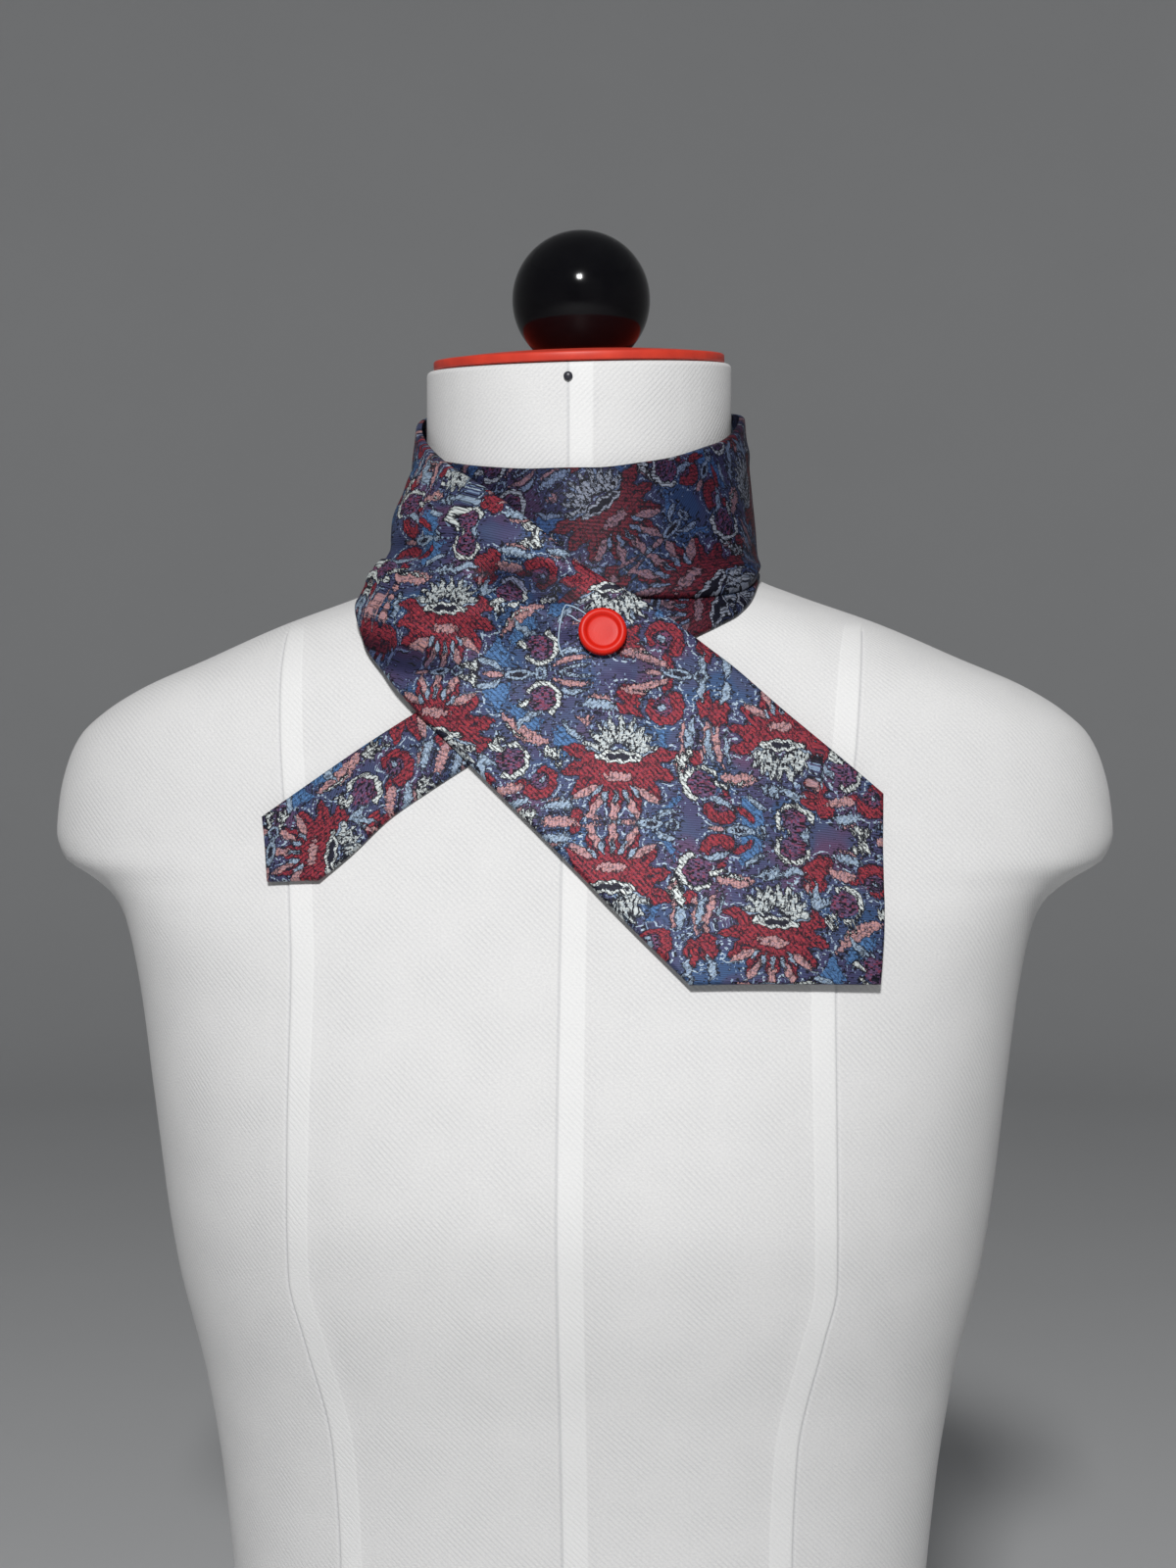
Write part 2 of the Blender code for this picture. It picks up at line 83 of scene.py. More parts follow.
FORM_SECTIONS = (
    FormSection(0, 158, 96, 104, 2.2),
    FormSection(70, 146, 93, 94, 2.2),
    FormSection(140, 128, 85, 74, 2.2),
    FormSection(190, 132, 90, 76, 2.2),
    FormSection(232, 138.5, 99, 82, 2.2),
    FormSection(276, 149, 112, 90, 2.2),
    FormSection(305, 153.5, 117, 95, 2.2),
    FormSection(340, 157.5, 113, 99, 2.35),
    FormSection(375, 162, 105, 101, 2.5),
    FormSection(400, 167, 98.5, 101, 2.7),
    FormSection(408, 171.5, 96.5, 101, 2.6),
    FormSection(414.5, 180, 95, 100.5, 2.35),
    FormSection(423, 194, 92.5, 100, 2.1),
    FormSection(432, 197.5, 90, 99.5, 2.0),
    FormSection(445, 196.5, 86, 98, 2.0),
    FormSection(458, 193.5, 82.5, 96.5, 2.0),
    FormSection(468.5, 188.5, 79.5, 95, 2.0),
    FormSection(477, 179.5, 77, 93.5, 2.0),
    FormSection(486, 165, 74.5, 91.5, 2.0),
    FormSection(496, 142, 71.5, 89, 2.0),
    FormSection(509, 112, 67.5, 85.5, 2.0),
    FormSection(520, 81, 64.3, 80.5, 2.0),
    FormSection(525, 68.5, 62.9, 77.2, 2.0),
    FormSection(529, 63, 62, 74, 2.0),
    FormSection(534, 60.4, 61.1, 70.5, 2.0),
    FormSection(542, 58.8, 60.2, 66, 2.0),
    FormSection(555, 57.6, 59.5, 61, 2.0),
    FormSection(580, 57, 59.5, 56, 2.0),
    FormSection(620, 57, 60, 54, 2.0),
)


def smooth_columns(rows, at):
    """The rows' values at a height between them, on a curve that never swings past a row."""
    table = np.array(rows, float)
    places = table[:, 0]
    steps = np.diff(places)
    slopes = np.diff(table, axis=0) / steps[:, None]
    tangents = np.zeros_like(table)
    tangents[0] = slopes[0]
    tangents[-1] = slopes[-1]
    before = slopes[:-1]
    after = slopes[1:]
    same_way = before * after > 0
    weight = 2 * steps[1:, None] + steps[:-1, None]
    other = steps[1:, None] + 2 * steps[:-1, None]
    with np.errstate(divide="ignore", invalid="ignore"):
        mean = (weight + other) / (weight / before + other / after)
    tangents[1:-1] = np.where(same_way, mean, 0)
    at = np.clip(np.asarray(at, float), places[0], places[-1])
    row = np.clip(np.searchsorted(places, at) - 1, 0, len(steps) - 1)
    step = steps[row][..., None]
    part = ((at - places[row])[..., None]) / step
    return (
        table[row] * (1 + 2 * part) * (1 - part) ** 2
        + tangents[row] * step * part * (1 - part) ** 2
        + table[row + 1] * part**2 * (3 - 2 * part)
        - tangents[row + 1] * step * part**2 * (1 - part)
    )


def form_fraction(points):
    """1 on the form's surface, less inside it and more outside it."""
    _, half_width, front, back, squareness = smooth_columns(
        FORM_SECTIONS, points[..., 2]
    ).T
    depth = np.where(points[..., 1].T < 0, front, back)
    across = np.abs(points[..., 0].T) / half_width
    along = np.abs(points[..., 1].T) / depth
    return ((across**squareness + along**squareness) ** (1 / squareness)).T


def form_slope(points):
    """The gradient of form_fraction."""
    probe = 0.05
    slope = np.zeros_like(points)
    for axis in range(3):
        shift = np.zeros(3)
        shift[axis] = probe
        ahead = form_fraction(points + shift)
        behind = form_fraction(points - shift)
        slope[..., axis] = (ahead - behind) / (2 * probe)
    return slope


def seat_on_form(points, lift, keep_outside=False, turns=6):
    """The points moved square to the form's surface until they are the lift outside it.

    With keep_outside, a point that is farther out already stays where it is.
    """
    points = np.array(points, float)
    for _ in range(turns):
        slope = form_slope(points)
        length = np.linalg.norm(slope, axis=-1, keepdims=True)
        out = (form_fraction(points)[..., None] - 1) / length
        move = np.asarray(lift)[..., None] - out
        if keep_outside:
            move = np.maximum(move, 0)
        points += slope / length * move
    return points


def front_points(across, heights, lift):
    """The points this far across and this high that lie the lift off the front of the form."""
    points = np.column_stack([across, np.full(len(across), -70.0), heights])
    for _ in range(25):
        slope = form_slope(points)
        length = np.linalg.norm(slope, axis=-1)
        out = (form_fraction(points) - 1) / length
        toward = np.minimum(slope[:, 1] / length, -0.25)
        points[:, 1] += (lift - out) / toward
    return points


def distance_from_form(points):
    return (form_fraction(points) - 1) / np.linalg.norm(form_slope(points), axis=-1)


class TurnRow(NamedTuple):
    """Where a stretch crosses one turn: its edges' heights, and how far each lies off the form."""

    turn: float
    upper: float
    lower: float
    upper_lift: float
    lower_lift: float
    lower_reach: float = 60.0

    def edges(self):
        """The edges' inner points; the lower reach is about how far the lower one lies from the axis."""
        angle = math.radians(self.turn)
        out = np.array([math.sin(angle), -math.cos(angle), 0])
        points = out * [[60], [self.lower_reach]]
        points[:, 2] = self.upper, self.lower
        return seat_on_form(points, np.array([self.upper_lift, self.lower_lift]))


class FrontRow(NamedTuple):
    """Where a stretch on the front is crossed at a slant: its edges' outer corners and their lifts."""

    upper_across: float
    upper: float
    lower_across: float
    lower: float
    upper_lift: float
    lower_lift: float

    def edges(self):
        """The edges' inner points, under the outer corners."""
        across = np.array([self.upper_across, self.lower_across])
        heights = np.array([self.upper, self.lower])
        lifts = np.array([self.upper_lift, self.lower_lift])
        corners = front_points(across, heights, lifts + CLOTH_THICKNESS)
        return seat_on_form(corners, lifts)


class Fold(NamedTuple):
    """A soft ridge in the cloth: its middle, its slope from level in degrees, and its size."""

    across: float
    height: float
    slope: float
    half_length: float
    half_width: float
    rise: float


class Crease(NamedTuple):
    """A bowed trough or ridge: its ends' turns and heights, its bow in mm, half width, and rise or depth."""

    from_turn: float
    from_height: float
    to_turn: float
    to_height: float
    bow: float
    half_width: float
    rise: float


NARROW_BLADE_ROWS = (
    FrontRow(-105, 439, -83, 418, 2.2, 2.0),
    FrontRow(-87, 451.5, -72.5, 426.5, 1.2, 1.2),
    FrontRow(-68, 464.5, -59, 439, 0.6, 0.6),
    FrontRow(-51.5, 475, -46, 448, 0.5, 0.5),
    FrontRow(-28, 489, -20.5, 464, 0.5, 0.5),
    FrontRow(-7, 501.5, 0, 475.5, 0.5, 0.5),
)
NARROW_TIP = (-101.5, 417)

LOWER_BAND_ROWS = (
    FrontRow(-6.6, 501.7, 0.4, 475.7, 0.5, 0.5),
    FrontRow(14, 515, 21, 488, 0.5, 0.5),
    FrontRow(33, 530, 38, 498, 0.5, 0.5),
    TurnRow(41, 540, 504.8, 0.5, 0.5, 81),
    TurnRow(46, 544, 508.2, 0.5, 0.5, 82),
    TurnRow(52, 548, 513.2, 0.5, 0.5, 80.5),
    TurnRow(58.5, 551.5, 518, 0.5, 0.5, 76.5),
    TurnRow(75, 558, 524.2, 0.5, 0.5, 69),
    TurnRow(90, 563, 528.5, 0.5, 0.5, 64),
    TurnRow(135, 573, 537, 0.5, 0.5),
    TurnRow(180, 578, 541, 0.5, 0.5),
    TurnRow(225, 578, 539, 0.5, 0.5),
    TurnRow(270, 573, 530, 0.5, 0.5),
    TurnRow(285, 570, 526, 0.5, 0.5),
)

UPPER_BAND_ROWS = (
    TurnRow(285.8, 570, 525.8, 0.5, 0.5),
    TurnRow(300, 568, 521, 0.5, 0.5),
    TurnRow(330, 562.5, 515.5, 0.5, 0.5),
    TurnRow(350, 560.5, 513.5, 1.4, 1.6),
    TurnRow(368, 560.5, 513.2, 2.6, 2.9),
    TurnRow(385, 563, 513.5, 2.9, 2.9, 71),
    TurnRow(394, 565, 514, 2.9, 2.9, 75),
    TurnRow(402, 567.5, 515.4, 2.9, 2.9, 78),
    TurnRow(412, 571, 517.8, 2.9, 2.9, 79),
    TurnRow(420, 573.5, 521, 2.9, 3.0, 75),
    TurnRow(435, 580, 526.5, 2.9, 3.2, 68),
    TurnRow(450, 587, 531, 2.9, 3.15, 64.5),
    TurnRow(475, 592.5, 536, 2.9, 3.0),
    TurnRow(500.35, 595.5, 537.5, 2.9, 2.9),
)

WIDE_BLADE_ROWS = (
    TurnRow(500.45, 595.5, 537.5, 2.9, 2.9),
    TurnRow(540, 597, 537, 2.9, 2.9),
    TurnRow(585, 595, 531, 2.9, 2.9),
    TurnRow(612, 591.5, 524.5, 2.2, 2.9),
    TurnRow(632, 586, 519, 1.6, 3.1),
    TurnRow(648, 579, 517, 2.3, 3.2),
    FrontRow(-54, 572.5, -75, 512, 2.9, 3.1),
    FrontRow(-46, 565, -72, 500.5, 3.3, 2.9),
    FrontRow(-31, 555, -63.5, 489, 4.3, 2.9),
    FrontRow(-12, 541, -51.5, 475.5, 6.0, 2.9),
    FrontRow(8, 524.5, -35, 460, 6.9, 2.9),
    FrontRow(30, 512, -15.5, 441.5, 5.4, 2.9),
    FrontRow(52.5, 495, 3, 423.5, 2.9, 2.9),
    FrontRow(80, 471.5, 22, 404.5, 2.9, 2.9),
    FrontRow(109, 447, 43.5, 384, 3.4, 3.4),
)
WIDE_TIP = (106.5, 383)

WIDE_BLADE_FOLDS = (
    Fold(-34, 539, -16, 30, 8.5, 3.4),
    Fold(-32, 507.5, -3, 36, 6.5, 4.0),
    Fold(-42, 480, -12, 26, 8, 1.6),
)

# The two troughs that run to the button, the soft rolls between them, and wrinkles round the back
WIDE_BLADE_CREASES = (
    Crease(-27, 523, 7, 510, 2.5, 4.2, -3.2),
    Crease(-24, 530.5, 9, 518, 2.5, 3.2, 1.7),
    Crease(-30, 514.5, -1, 504, 2.0, 3.6, 1.6),
    Crease(-66, 505.5, -24, 488, -1.0, 4.2, -3.0),
    Crease(-62, 513, -24, 497, -1.0, 3.4, 1.6),
    Crease(-2, 507, 8, 505.5, 0.4, 1.5, -0.8),
    Crease(-4, 502, 7, 501, 0.3, 1.4, 0.6),
    Crease(-1, 497.5, 8, 499.5, -0.3, 1.4, -0.7),
    Crease(-47, 486, -30, 478, 1.0, 3.0, 0.7),
    Crease(-58, 536, -38, 529, 2.0, 3.2, -0.9),
    Crease(-66, 560, -40, 551, 3.0, 4.0, 0.7),
    Crease(6, 497, 24, 487, 1.5, 2.6, -0.7),
    Crease(8, 490, 20, 478, 1.0, 2.4, 0.5),
    Crease(-88, 552, -62, 543, 2.5, 3.4, 0.8),
    Crease(-112, 574, -76, 566, -3.0, 4.0, -0.7),
    Crease(-150, 561, -104, 556, 3.0, 3.6, 0.9),
    Crease(-176, 580, -132, 583, 2.0, 3.0, -0.6),
    Crease(-206, 551, -166, 549, -2.0, 3.8, 0.7),
)
UPPER_BAND_CREASES = (
    Crease(20, 548, 52, 555, 1.5, 4.0, 0.6),
    Crease(36, 527, 74, 537, -2.0, 3.4, -0.5),
    Crease(66, 566, 104, 574, 2.5, 3.6, 0.7),
    Crease(92, 546, 132, 552, -2.0, 3.2, -0.6),
    Crease(-20, 549, 12, 547, 1.0, 4.5, 0.4),
)
LOWER_BAND_CREASES = (
    Crease(34, 517, 62, 532, 1.0, 3.0, 0.5),
    Crease(58, 525, 84, 534, -1.0, 2.4, -0.4),
    Crease(96, 536, 150, 544, 2.0, 3.0, 0.4),
)
NARROW_BLADE_CREASES = (
    Crease(-42, 441, -22, 472, 2.0, 4.0, 0.5),
    Crease(-34, 446, -20, 462, -1.5, 3.0, -0.4),
)
REPEAT_ALONG = 116.0
MIRROR_SPACING = 53.0
PATTERN_TURN = math.radians(40.6)
FAR = 50.0
# How far the drawn edges wander
WAVER = 0.42
YARNS = ("sky", "plum", "red", "pink", "mist", "fern", "cream", "ink")


def oval(x, y, half_length, half_width):
    """About how far points lie outside an oval."""
    return (np.hypot(x / half_length, y / half_width) - 1) * min(half_length, half_width)


def leaf(x, y, half_length, half_width):
    """How far points lie outside a shape with two round sides that meet in points."""
    radius = (half_length**2 + half_width**2) / (2 * half_width)
    return np.hypot(x, np.abs(y) + radius - half_width) - radius


def bent_leaf(x, y, half_length, half_width, bend):
    """A leaf whose middle line is bowed sideways by the bend."""
    return leaf(x, y - bend * (1 - (x / half_length) ** 2), half_length, half_width)


def toothed(field, x, pitch, depth):
    """A field with saw teeth along its edge."""
    return field + depth * (2 * np.abs((x / pitch) % 1 - 0.5) - 0.5)


def curl(x, y, radius, start, sweep, wide, narrow, wind=0.0):
    """A curled band round the origin, wide at its start and narrow at its end, which winds in."""
    angle = (np.degrees(np.arctan2(y, x)) - start) % 360
    share = angle / sweep
    half = wide + (narrow - wide) * np.clip(share, 0, 1)
    middle = radius * (1 - wind * np.clip(share, 0, 1))
    band = np.abs(np.hypot(x, y) - middle) - half
    ends = []
    for place, size in ((0, wide), (1, narrow)):
        turn = math.radians(start + sweep * place)
        reach = radius * (1 - wind * place)
        ends.append(np.hypot(x - reach * math.cos(turn), y - reach * math.sin(turn)) - size)
    band = np.where(angle <= sweep, band, FAR)
    return np.minimum(band, np.minimum(ends[0], ends[1]))


def rays(x, y, count, spread, inner, outer, half_width):
    """A fan of leaves round the origin, about the +Y direction."""
    step = math.radians(spread) / max(count - 1, 1)
    angle = np.arctan2(x, y)
    place = np.clip(np.round(angle / step), -(count // 2), count // 2)
    aside = angle - place * step
    distance = np.hypot(x, y)
    along = distance * np.cos(aside) - (inner + outer) / 2
    across = distance * np.sin(aside)
    return leaf(along, across, (outer - inner) / 2, half_width)


class Cloth:
    """The drawing of the jacquard: for each yarn, how far a place lies outside what it draws."""

    def __init__(self, along, up):
        mirrored = np.abs((up + MIRROR_SPACING) % (2 * MIRROR_SPACING) - MIRROR_SPACING)
        self.along = along + WAVER * np.sin(1.5 * mirrored + 2.0 * np.sin(0.55 * along))
        self.up = mirrored + WAVER * np.sin(1.3 * along + 2.0 * np.sin(0.6 * mirrored)) * np.sin(
            np.clip(mirrored, 0, MIRROR_SPACING) * math.pi / MIRROR_SPACING
        )
        self.fields = {yarn: np.full(along.shape, FAR) for yarn in YARNS}

    def local(self, along, up, turn=0.0, flip=1):
        """Coordinates about one motif's middle."""
        across = (self.along - along + REPEAT_ALONG / 2) % REPEAT_ALONG - REPEAT_ALONG / 2
        above = self.up - up
        angle = math.radians(turn)
        x = across * math.cos(angle) + above * math.sin(angle)
        y = above * math.cos(angle) - across * math.sin(angle)
        return x, y * flip

    def draw(self, yarn, field):
        self.fields[yarn] = np.minimum(self.fields[yarn], field)

    def clear(self, field):
        """Takes away what is drawn so far inside a field."""
        for yarn in YARNS:
            self.fields[yarn] = np.maximum(self.fields[yarn], -field)

    def bloom(self, along, up, turn, size):
        """A red fan flower on a white almond, with a pink collar and a pale fern under it."""
        x, y = self.local(along, up, turn)
        x, y = x / size, y / size
        self.clear(size * np.minimum(oval(x, y - 4.6, 13.0, 9.2), oval(x, y + 4.6, 8.0, 5.0)))
        self.draw("red", size * rays(x, y - 0.6, 9, 200, 2.4, 13.0, 1.6))
        self.draw("red", size * oval(x, y - 1.6, 8.0, 2.6))
        self.draw("ink", size * rays(x, y - 0.6, 8, 175, 6.0, 11.6, 0.28))
        self.draw("pink", size * rays(x, y - 4.2, 5, 120, 4.2, 11.0, 0.85))
        self.draw("pink", size * toothed(oval(x, y - 4.4, 3.2, 1.0), x, 1.1, 0.7))
        self.draw("mist", size * rays(x, y - 2.6, 4, 60, 4.6, 8.2, 0.5))
        self.draw("cream", size * leaf(x, y, 5.6, 1.35))
        self.draw("ink", size * leaf(x, y, 4.6, 0.75))
        self.draw("mist", size * rays(x, -y - 0.4, 6, 130, 2.4, 8.0, 0.9))
        self.draw("fern", size * rays(x, -y - 0.6, 9, 150, 2.2, 8.6, 0.62))

    def paisley(self, along, up, turn, size, flip=1):
        """A red hook with a mottled purple eye."""
        x, y = self.local(along, up, turn, flip)
        x, y = x / size, y / size
        self.clear(size * oval(x, y, 6.4, 6.0))
        self.draw("plum", size * oval(x, y, 3.6, 2.9))
        self.draw("red", size * curl(x, y, 4.6, 15, 250, 1.75, 0.75, 0.25))
        self.draw("red", size * bent_leaf(x - 7.2, y + 1.2, 4.2, 1.0, -1.0))
        self.draw("ink", size * curl(x, y, 2.4, 150, 210, 0.42, 0.2, 0.3))
        self.draw("mist", size * oval(x + 0.4, y + 0.2, 1.1, 0.8))

    def scroll(self, along, up, turn, size, flip=1):
        """A cream rope curled round a purple middle, with a pale tail."""
        x, y = self.local(along, up, turn, flip)
        x, y = x / size, y / size
        self.clear(size * oval(x, y, 6.2, 5.8))
        self.draw("plum", size * oval(x + 0.4, y, 5.2, 3.7))
        self.draw("cream", size * curl(x, y, 5.2, 60, 215, 0.55, 0.75, 0.1))
        self.draw("ink", size * curl(x, y, 3.0, 80, 190, 0.3, 0.25, 0.2))
        self.draw("mist", size * bent_leaf(x - 7.4, y + 3.6, 5.4, 1.0, 1.4))
        self.draw("cream", size * bent_leaf(x - 5.6, y - 2.6, 3.0, 0.6, -0.7))

    def poppy(self, along, up, turn, size, flip=1):
        """Two ribbed red petals, a bud, and a pair of pale leaves."""
        x, y = self.local(along, up, turn, flip)
        x, y = x / size, y / size
        self.draw("red", size * oval(x, y - 1.6, 4.4, 2.9))
        self.draw("red", size * bent_leaf(x + 1.4, y + 2.6, 4.8, 1.7, -0.8))
        self.draw("mist", size * bent_leaf(x + 6.4, y - 1.0, 4.4, 1.1, 1.3))
        self.draw("mist", size * bent_leaf(x + 5.8, y + 3.8, 4.0, 0.9, -1.1))
        self.draw("ink", size * leaf(x + 0.6, y + 0.6, 4.0, 0.32))

    def feather(self, along, up, turn, size, flip=1):
        """A salmon leaf with a toothed edge and a cream rib."""
        x, y = self.local(along, up, turn, flip)
        x, y = x / size, y / size
        bowed = bent_leaf(x, y, 8.6, 1.9, 1.8)
        self.draw("pink", size * toothed(bowed, x, 1.5, 0.9))
        self.draw("cream", size * toothed(bent_leaf(x + 1.6, y - 1.7, 5.0, 0.35, 1.1), x, 1.2, 0.35))

    def plume(self, along, up, turn, size, flip=1):
        """Four ribbed blue barbs side by side, with a pale one under them."""
        x, y = self.local(along, up, turn, flip)
        x, y = x / size, y / size
        for across, above, reach in ((0, 0, 6.4), (1.0, 1.9, 5.4), (2.2, 3.6, 4.0), (-1.4, -1.8, 5.0)):
            barb = bent_leaf(x - across, y - above, reach, 1.35, 0.9)
            self.draw("sky", size * toothed(barb, x, 1.7, 0.7))
        self.draw("mist", size * bent_leaf(x + 0.4, y + 3.7, 4.6, 0.9, 1.1))

    def lappet(self, along, up, turn, size, flip=1):
        """A fringed salmon patch and a pale blue one, with a dark line between them."""
        x, y = self.local(along, up, turn, flip)
        x, y = x / size, y / size
        self.draw("pink", size * toothed(bent_leaf(x, y - 2.0, 6.4, 1.5, 0.8), x, 1.25, 1.3))
        self.draw("mist", size * toothed(bent_leaf(x + 0.5, y + 1.9, 6.0, 1.3, -0.8), x, 1.35, 1.2))
        self.draw("red", size * oval(x - 6.2, y - 0.4, 2.4, 2.2))
        self.draw("ink", size * toothed(leaf(x + 0.2, y, 5.4, 0.5), x, 1.1, 0.3))
        self.draw("pink", size * toothed(bent_leaf(x + 0.6, y + 4.3, 4.2, 0.6, -0.5), x, 1.4, 0.6))

    def sprig(self, along, up, turn, size, yarn="cream"):
        """A little branch with paired twigs."""
        x, y = self.local(along, up, turn)
        x, y = x / size, y / size
        self.draw(yarn, size * leaf(x, y, 5.0, 0.42))
        for place in (-2.4, -0.4, 1.6):
            reach = 2.6 - 0.35 * abs(place)
            aside = np.abs(y) - reach * 0.5
            ahead = x - place - np.abs(y) * 0.75
            self.draw(yarn, size * np.maximum(np.abs(ahead) * 0.8 - 0.36, np.abs(aside) - reach * 0.5))

    def lamp(self, along, up, size):
        """An upright bud of stacked diamonds that stands on a mirror line."""
        x, y = self.local(along, up)
        x, y = x / size, y / size
        self.draw("mist", size * leaf(x, y, 4.6, 1.5))
        self.draw("ink", size * leaf(x, y, 3.2, 0.8))
        self.draw("cream", size * leaf(x, y, 2.0, 0.35))
        self.draw("mist", size * (np.abs(np.hypot(x - 6.6, y) - 1.5) - 0.42))
        self.draw("pink", size * bent_leaf(x + 7.0, y, 3.4, 0.8, 0.0))

    def stalks(self, along, up, turn, size, flip=1):
        """Three slim stems, pink between grey, that spring from one place."""
        x, y = self.local(along, up, turn, flip)
        x, y = x / size, y / size
        self.draw("pink", size * bent_leaf(x, y, 7.0, 0.85, 1.2))
        self.draw("mist", size * bent_leaf(x + 0.6, y - 2.2, 6.0, 0.9, 1.6))
        self.draw("mist", size * bent_leaf(x - 0.6, y + 1.8, 5.2, 0.5, 0.4))


def jacquard(along, up):
    """The whole drawing: one repeat, mirrored up and down. A later motif clears room among the earlier."""
    cloth = Cloth(along, up)
    for motif, places in (
        (cloth.plume, ((14, 46, 35, 1.1), (41, 7, 160, 1.15, -1), (66, 24, 40, 1.1), (100, 46, -20, 1.05, -1))),
        (cloth.plume, ((95, 23, 215, 1.0), (52, 14, 20, 1.0))),
        (cloth.lappet, ((46, 43, 170, 1.15), (77, 15, 8, 1.2), (110, 22, 95, 1.1, -1), (64, 50, 0, 1.0))),
        (cloth.poppy, ((36, 39, 15, 1.2), (87, 10, 200, 1.15), (115, 12, 100, 1.15, -1))),
        (cloth.feather, ((52, 19, 35, 1.2), (92, 4, 165, 1.05, -1), (10, 33, -12, 1.15), (102, 34, -70, 1.15))),
        (cloth.stalks, ((31, 31, 250, 1.2), (79, 50, 175, 1.1, -1), (2, 24, 80, 1.2), (68, 3, 10, 1.1))),
        (cloth.stalks, ((70, 40, 80, 1.1, -1),)),
        (cloth.sprig, ((41, 22, 70, 1.1), (66, 33, 150, 1.05), (60, 28, 20, 1.0), (106, 29, 120, 1.05))),
        (cloth.sprig, ((52, 50, 15, 1.1), (33, 3, 0, 1.0), (67, 44, 100, 1.1, "mist"), (93, 41, 30, 1.1, "mist"))),
        (cloth.sprig, ((14, 12, 60, 1.0, "mist"), (88, 22, 100, 1.0, "mist"), (20, 38, 10, 1.1, "mist"))),
        (cloth.paisley, ((3, 44, 35, 1.2), (57, 38, 160, 1.15, -1), (98, 12, -60, 1.2), (36, 18, 110, 1.05))),
        (cloth.scroll, ((46, 30, 205, 1.15), (112, 38, 20, 1.15, -1), (58, 9, 150, 1.1), (28, 48, 80, 1.05))),
        (cloth.bloom, ((23, 22, 178, 1.5), (84, 30, 2, 1.6))),
        (cloth.lamp, ((22, 0, 1.1), (50, 0, 1.15), (103, 0, 1.1), (10, 53, 1.1), (96, 53, 1.1))),
    ):
        for place in places:
            motif(*place)
    return cloth.fields


NECK_GIRTH_RADIUS = 62.0
CLOTH_STEP = 0.8
EDGE_STEPS = (0.0, 0.12, 0.4, 0.85, 1.4)
EDGE_ROUNDING = 1.2
EDGE_LEAST = 0.3
EVENING_PASSES = 220
UNDER_STEPS = 31
TIP_SLANT = 0.7
# Painted shade: the cloth's colour is darkened in its hollows, and round the neck where its floats turn away from the
# light
HOLLOW_SHADE = 0.85
HOLLOW_DEPTH = 1.7
BAND_SHADE = 0.30
BAND_BRIGHTENS_AT = 0.72
PATTERN_ALONG = 12.0
PATTERN_UP = 0.0


def ease(part):
    part = np.clip(part, 0, 1)
    return part * part * (3 - 2 * part)


def rise_of_folds(points, folds):
    """How far the folds lift the cloth at these points of the front."""
    rise = np.zeros(points.shape[:-1])
    for fold in folds:
        angle = math.radians(fold.slope)
        across = points[..., 0] - fold.across
        height = points[..., 2] - fold.height
        along = across * math.cos(angle) + height * math.sin(angle)
        aside = height * math.cos(angle) - across * math.sin(angle)
        shape = np.exp(-((along / fold.half_length) ** 2) - (aside / fold.half_width) ** 2)
        rise += fold.rise * np.where(points[..., 1] < -20, shape, 0)
    return rise


def rise_of_creases(points, creases):
    """How far the creases lift the cloth: soft bands that taper to both ends."""
    per_degree = math.radians(1) * NECK_GIRTH_RADIUS
    turns = np.degrees(np.arctan2(points[..., 0], -points[..., 1]))
    rise = np.zeros(points.shape[:-1])
    for crease in creases:
        middle = (crease.from_turn + crease.to_turn) / 2
        around = ((turns - middle + 180) % 360 - 180) * per_degree
        above = points[..., 2] - (crease.from_height + crease.to_height) / 2
        run = (crease.to_turn - crease.from_turn) * per_degree
        climb = crease.to_height - crease.from_height
        length = math.hypot(run, climb)
        share = (around * run + above * climb) / length**2 + 0.5
        inside = np.clip(share, 0, 1)
        aside = (above * run - around * climb) / length - crease.bow * 4 * inside * (1 - inside)
        taper = np.sin(math.pi * inside) ** 0.8
        width = crease.half_width * (0.55 + 0.45 * taper)
        rise += crease.rise * taper * np.exp(-((aside / width) ** 2))
    return rise


def evened(off, least, passes):
    """Distances off the form, evened out between neighbours and never less than the least."""
    for _ in range(passes):
        middle = off[1:-1, 1:-1]
        around = off[:-2, 1:-1] + off[2:, 1:-1] + off[1:-1, :-2] + off[1:-1, 2:]
        off = off.copy()
        off[1:-1, 1:-1] = np.maximum((middle * 2 + around) / 6, least[1:-1, 1:-1])
    return off


def drawn_to_point(grid, tip, down):
    """The grid of a blade with its end columns drawn out to the blade's point."""
    at_start = tip[0] < 0
    end = grid[0] if at_start else grid[-1]
    point = front_points(*np.array([[tip[0]], [tip[1]], [BLADE_TIP_LIFT]]))[0]
    share = down[:, None] * 2
    to_point = end[0] + (point - end[0]) * share
    from_point = point + (end[-1] - point) * (share - 1)
    pull = np.where(share < 1, to_point, from_point) - end
    reach = np.linalg.norm(pull, axis=1).max() * BLADE_POINT_REACH
    middle = grid[:, len(down) // 2]
    away = np.linalg.norm(middle - (middle[0] if at_start else middle[-1]), axis=1)
    return grid + pull[None] * np.clip(1 - away / reach, 0, 1)[:, None, None]


def spaced(length, rounded_start, rounded_end):
    """Even shares of a length, with closer ones where its ends are rounded."""
    first = list(EDGE_STEPS) if rounded_start else [0.0]
    last = [length - step for step in reversed(EDGE_STEPS)] if rounded_end else [length]
    count = 2 * round((last[0] - first[-1]) / CLOTH_STEP / 2) + 1
    middle = np.linspace(first[-1], last[0], count)
    return np.array(first[:-1] + list(middle) + last[1:]) / length


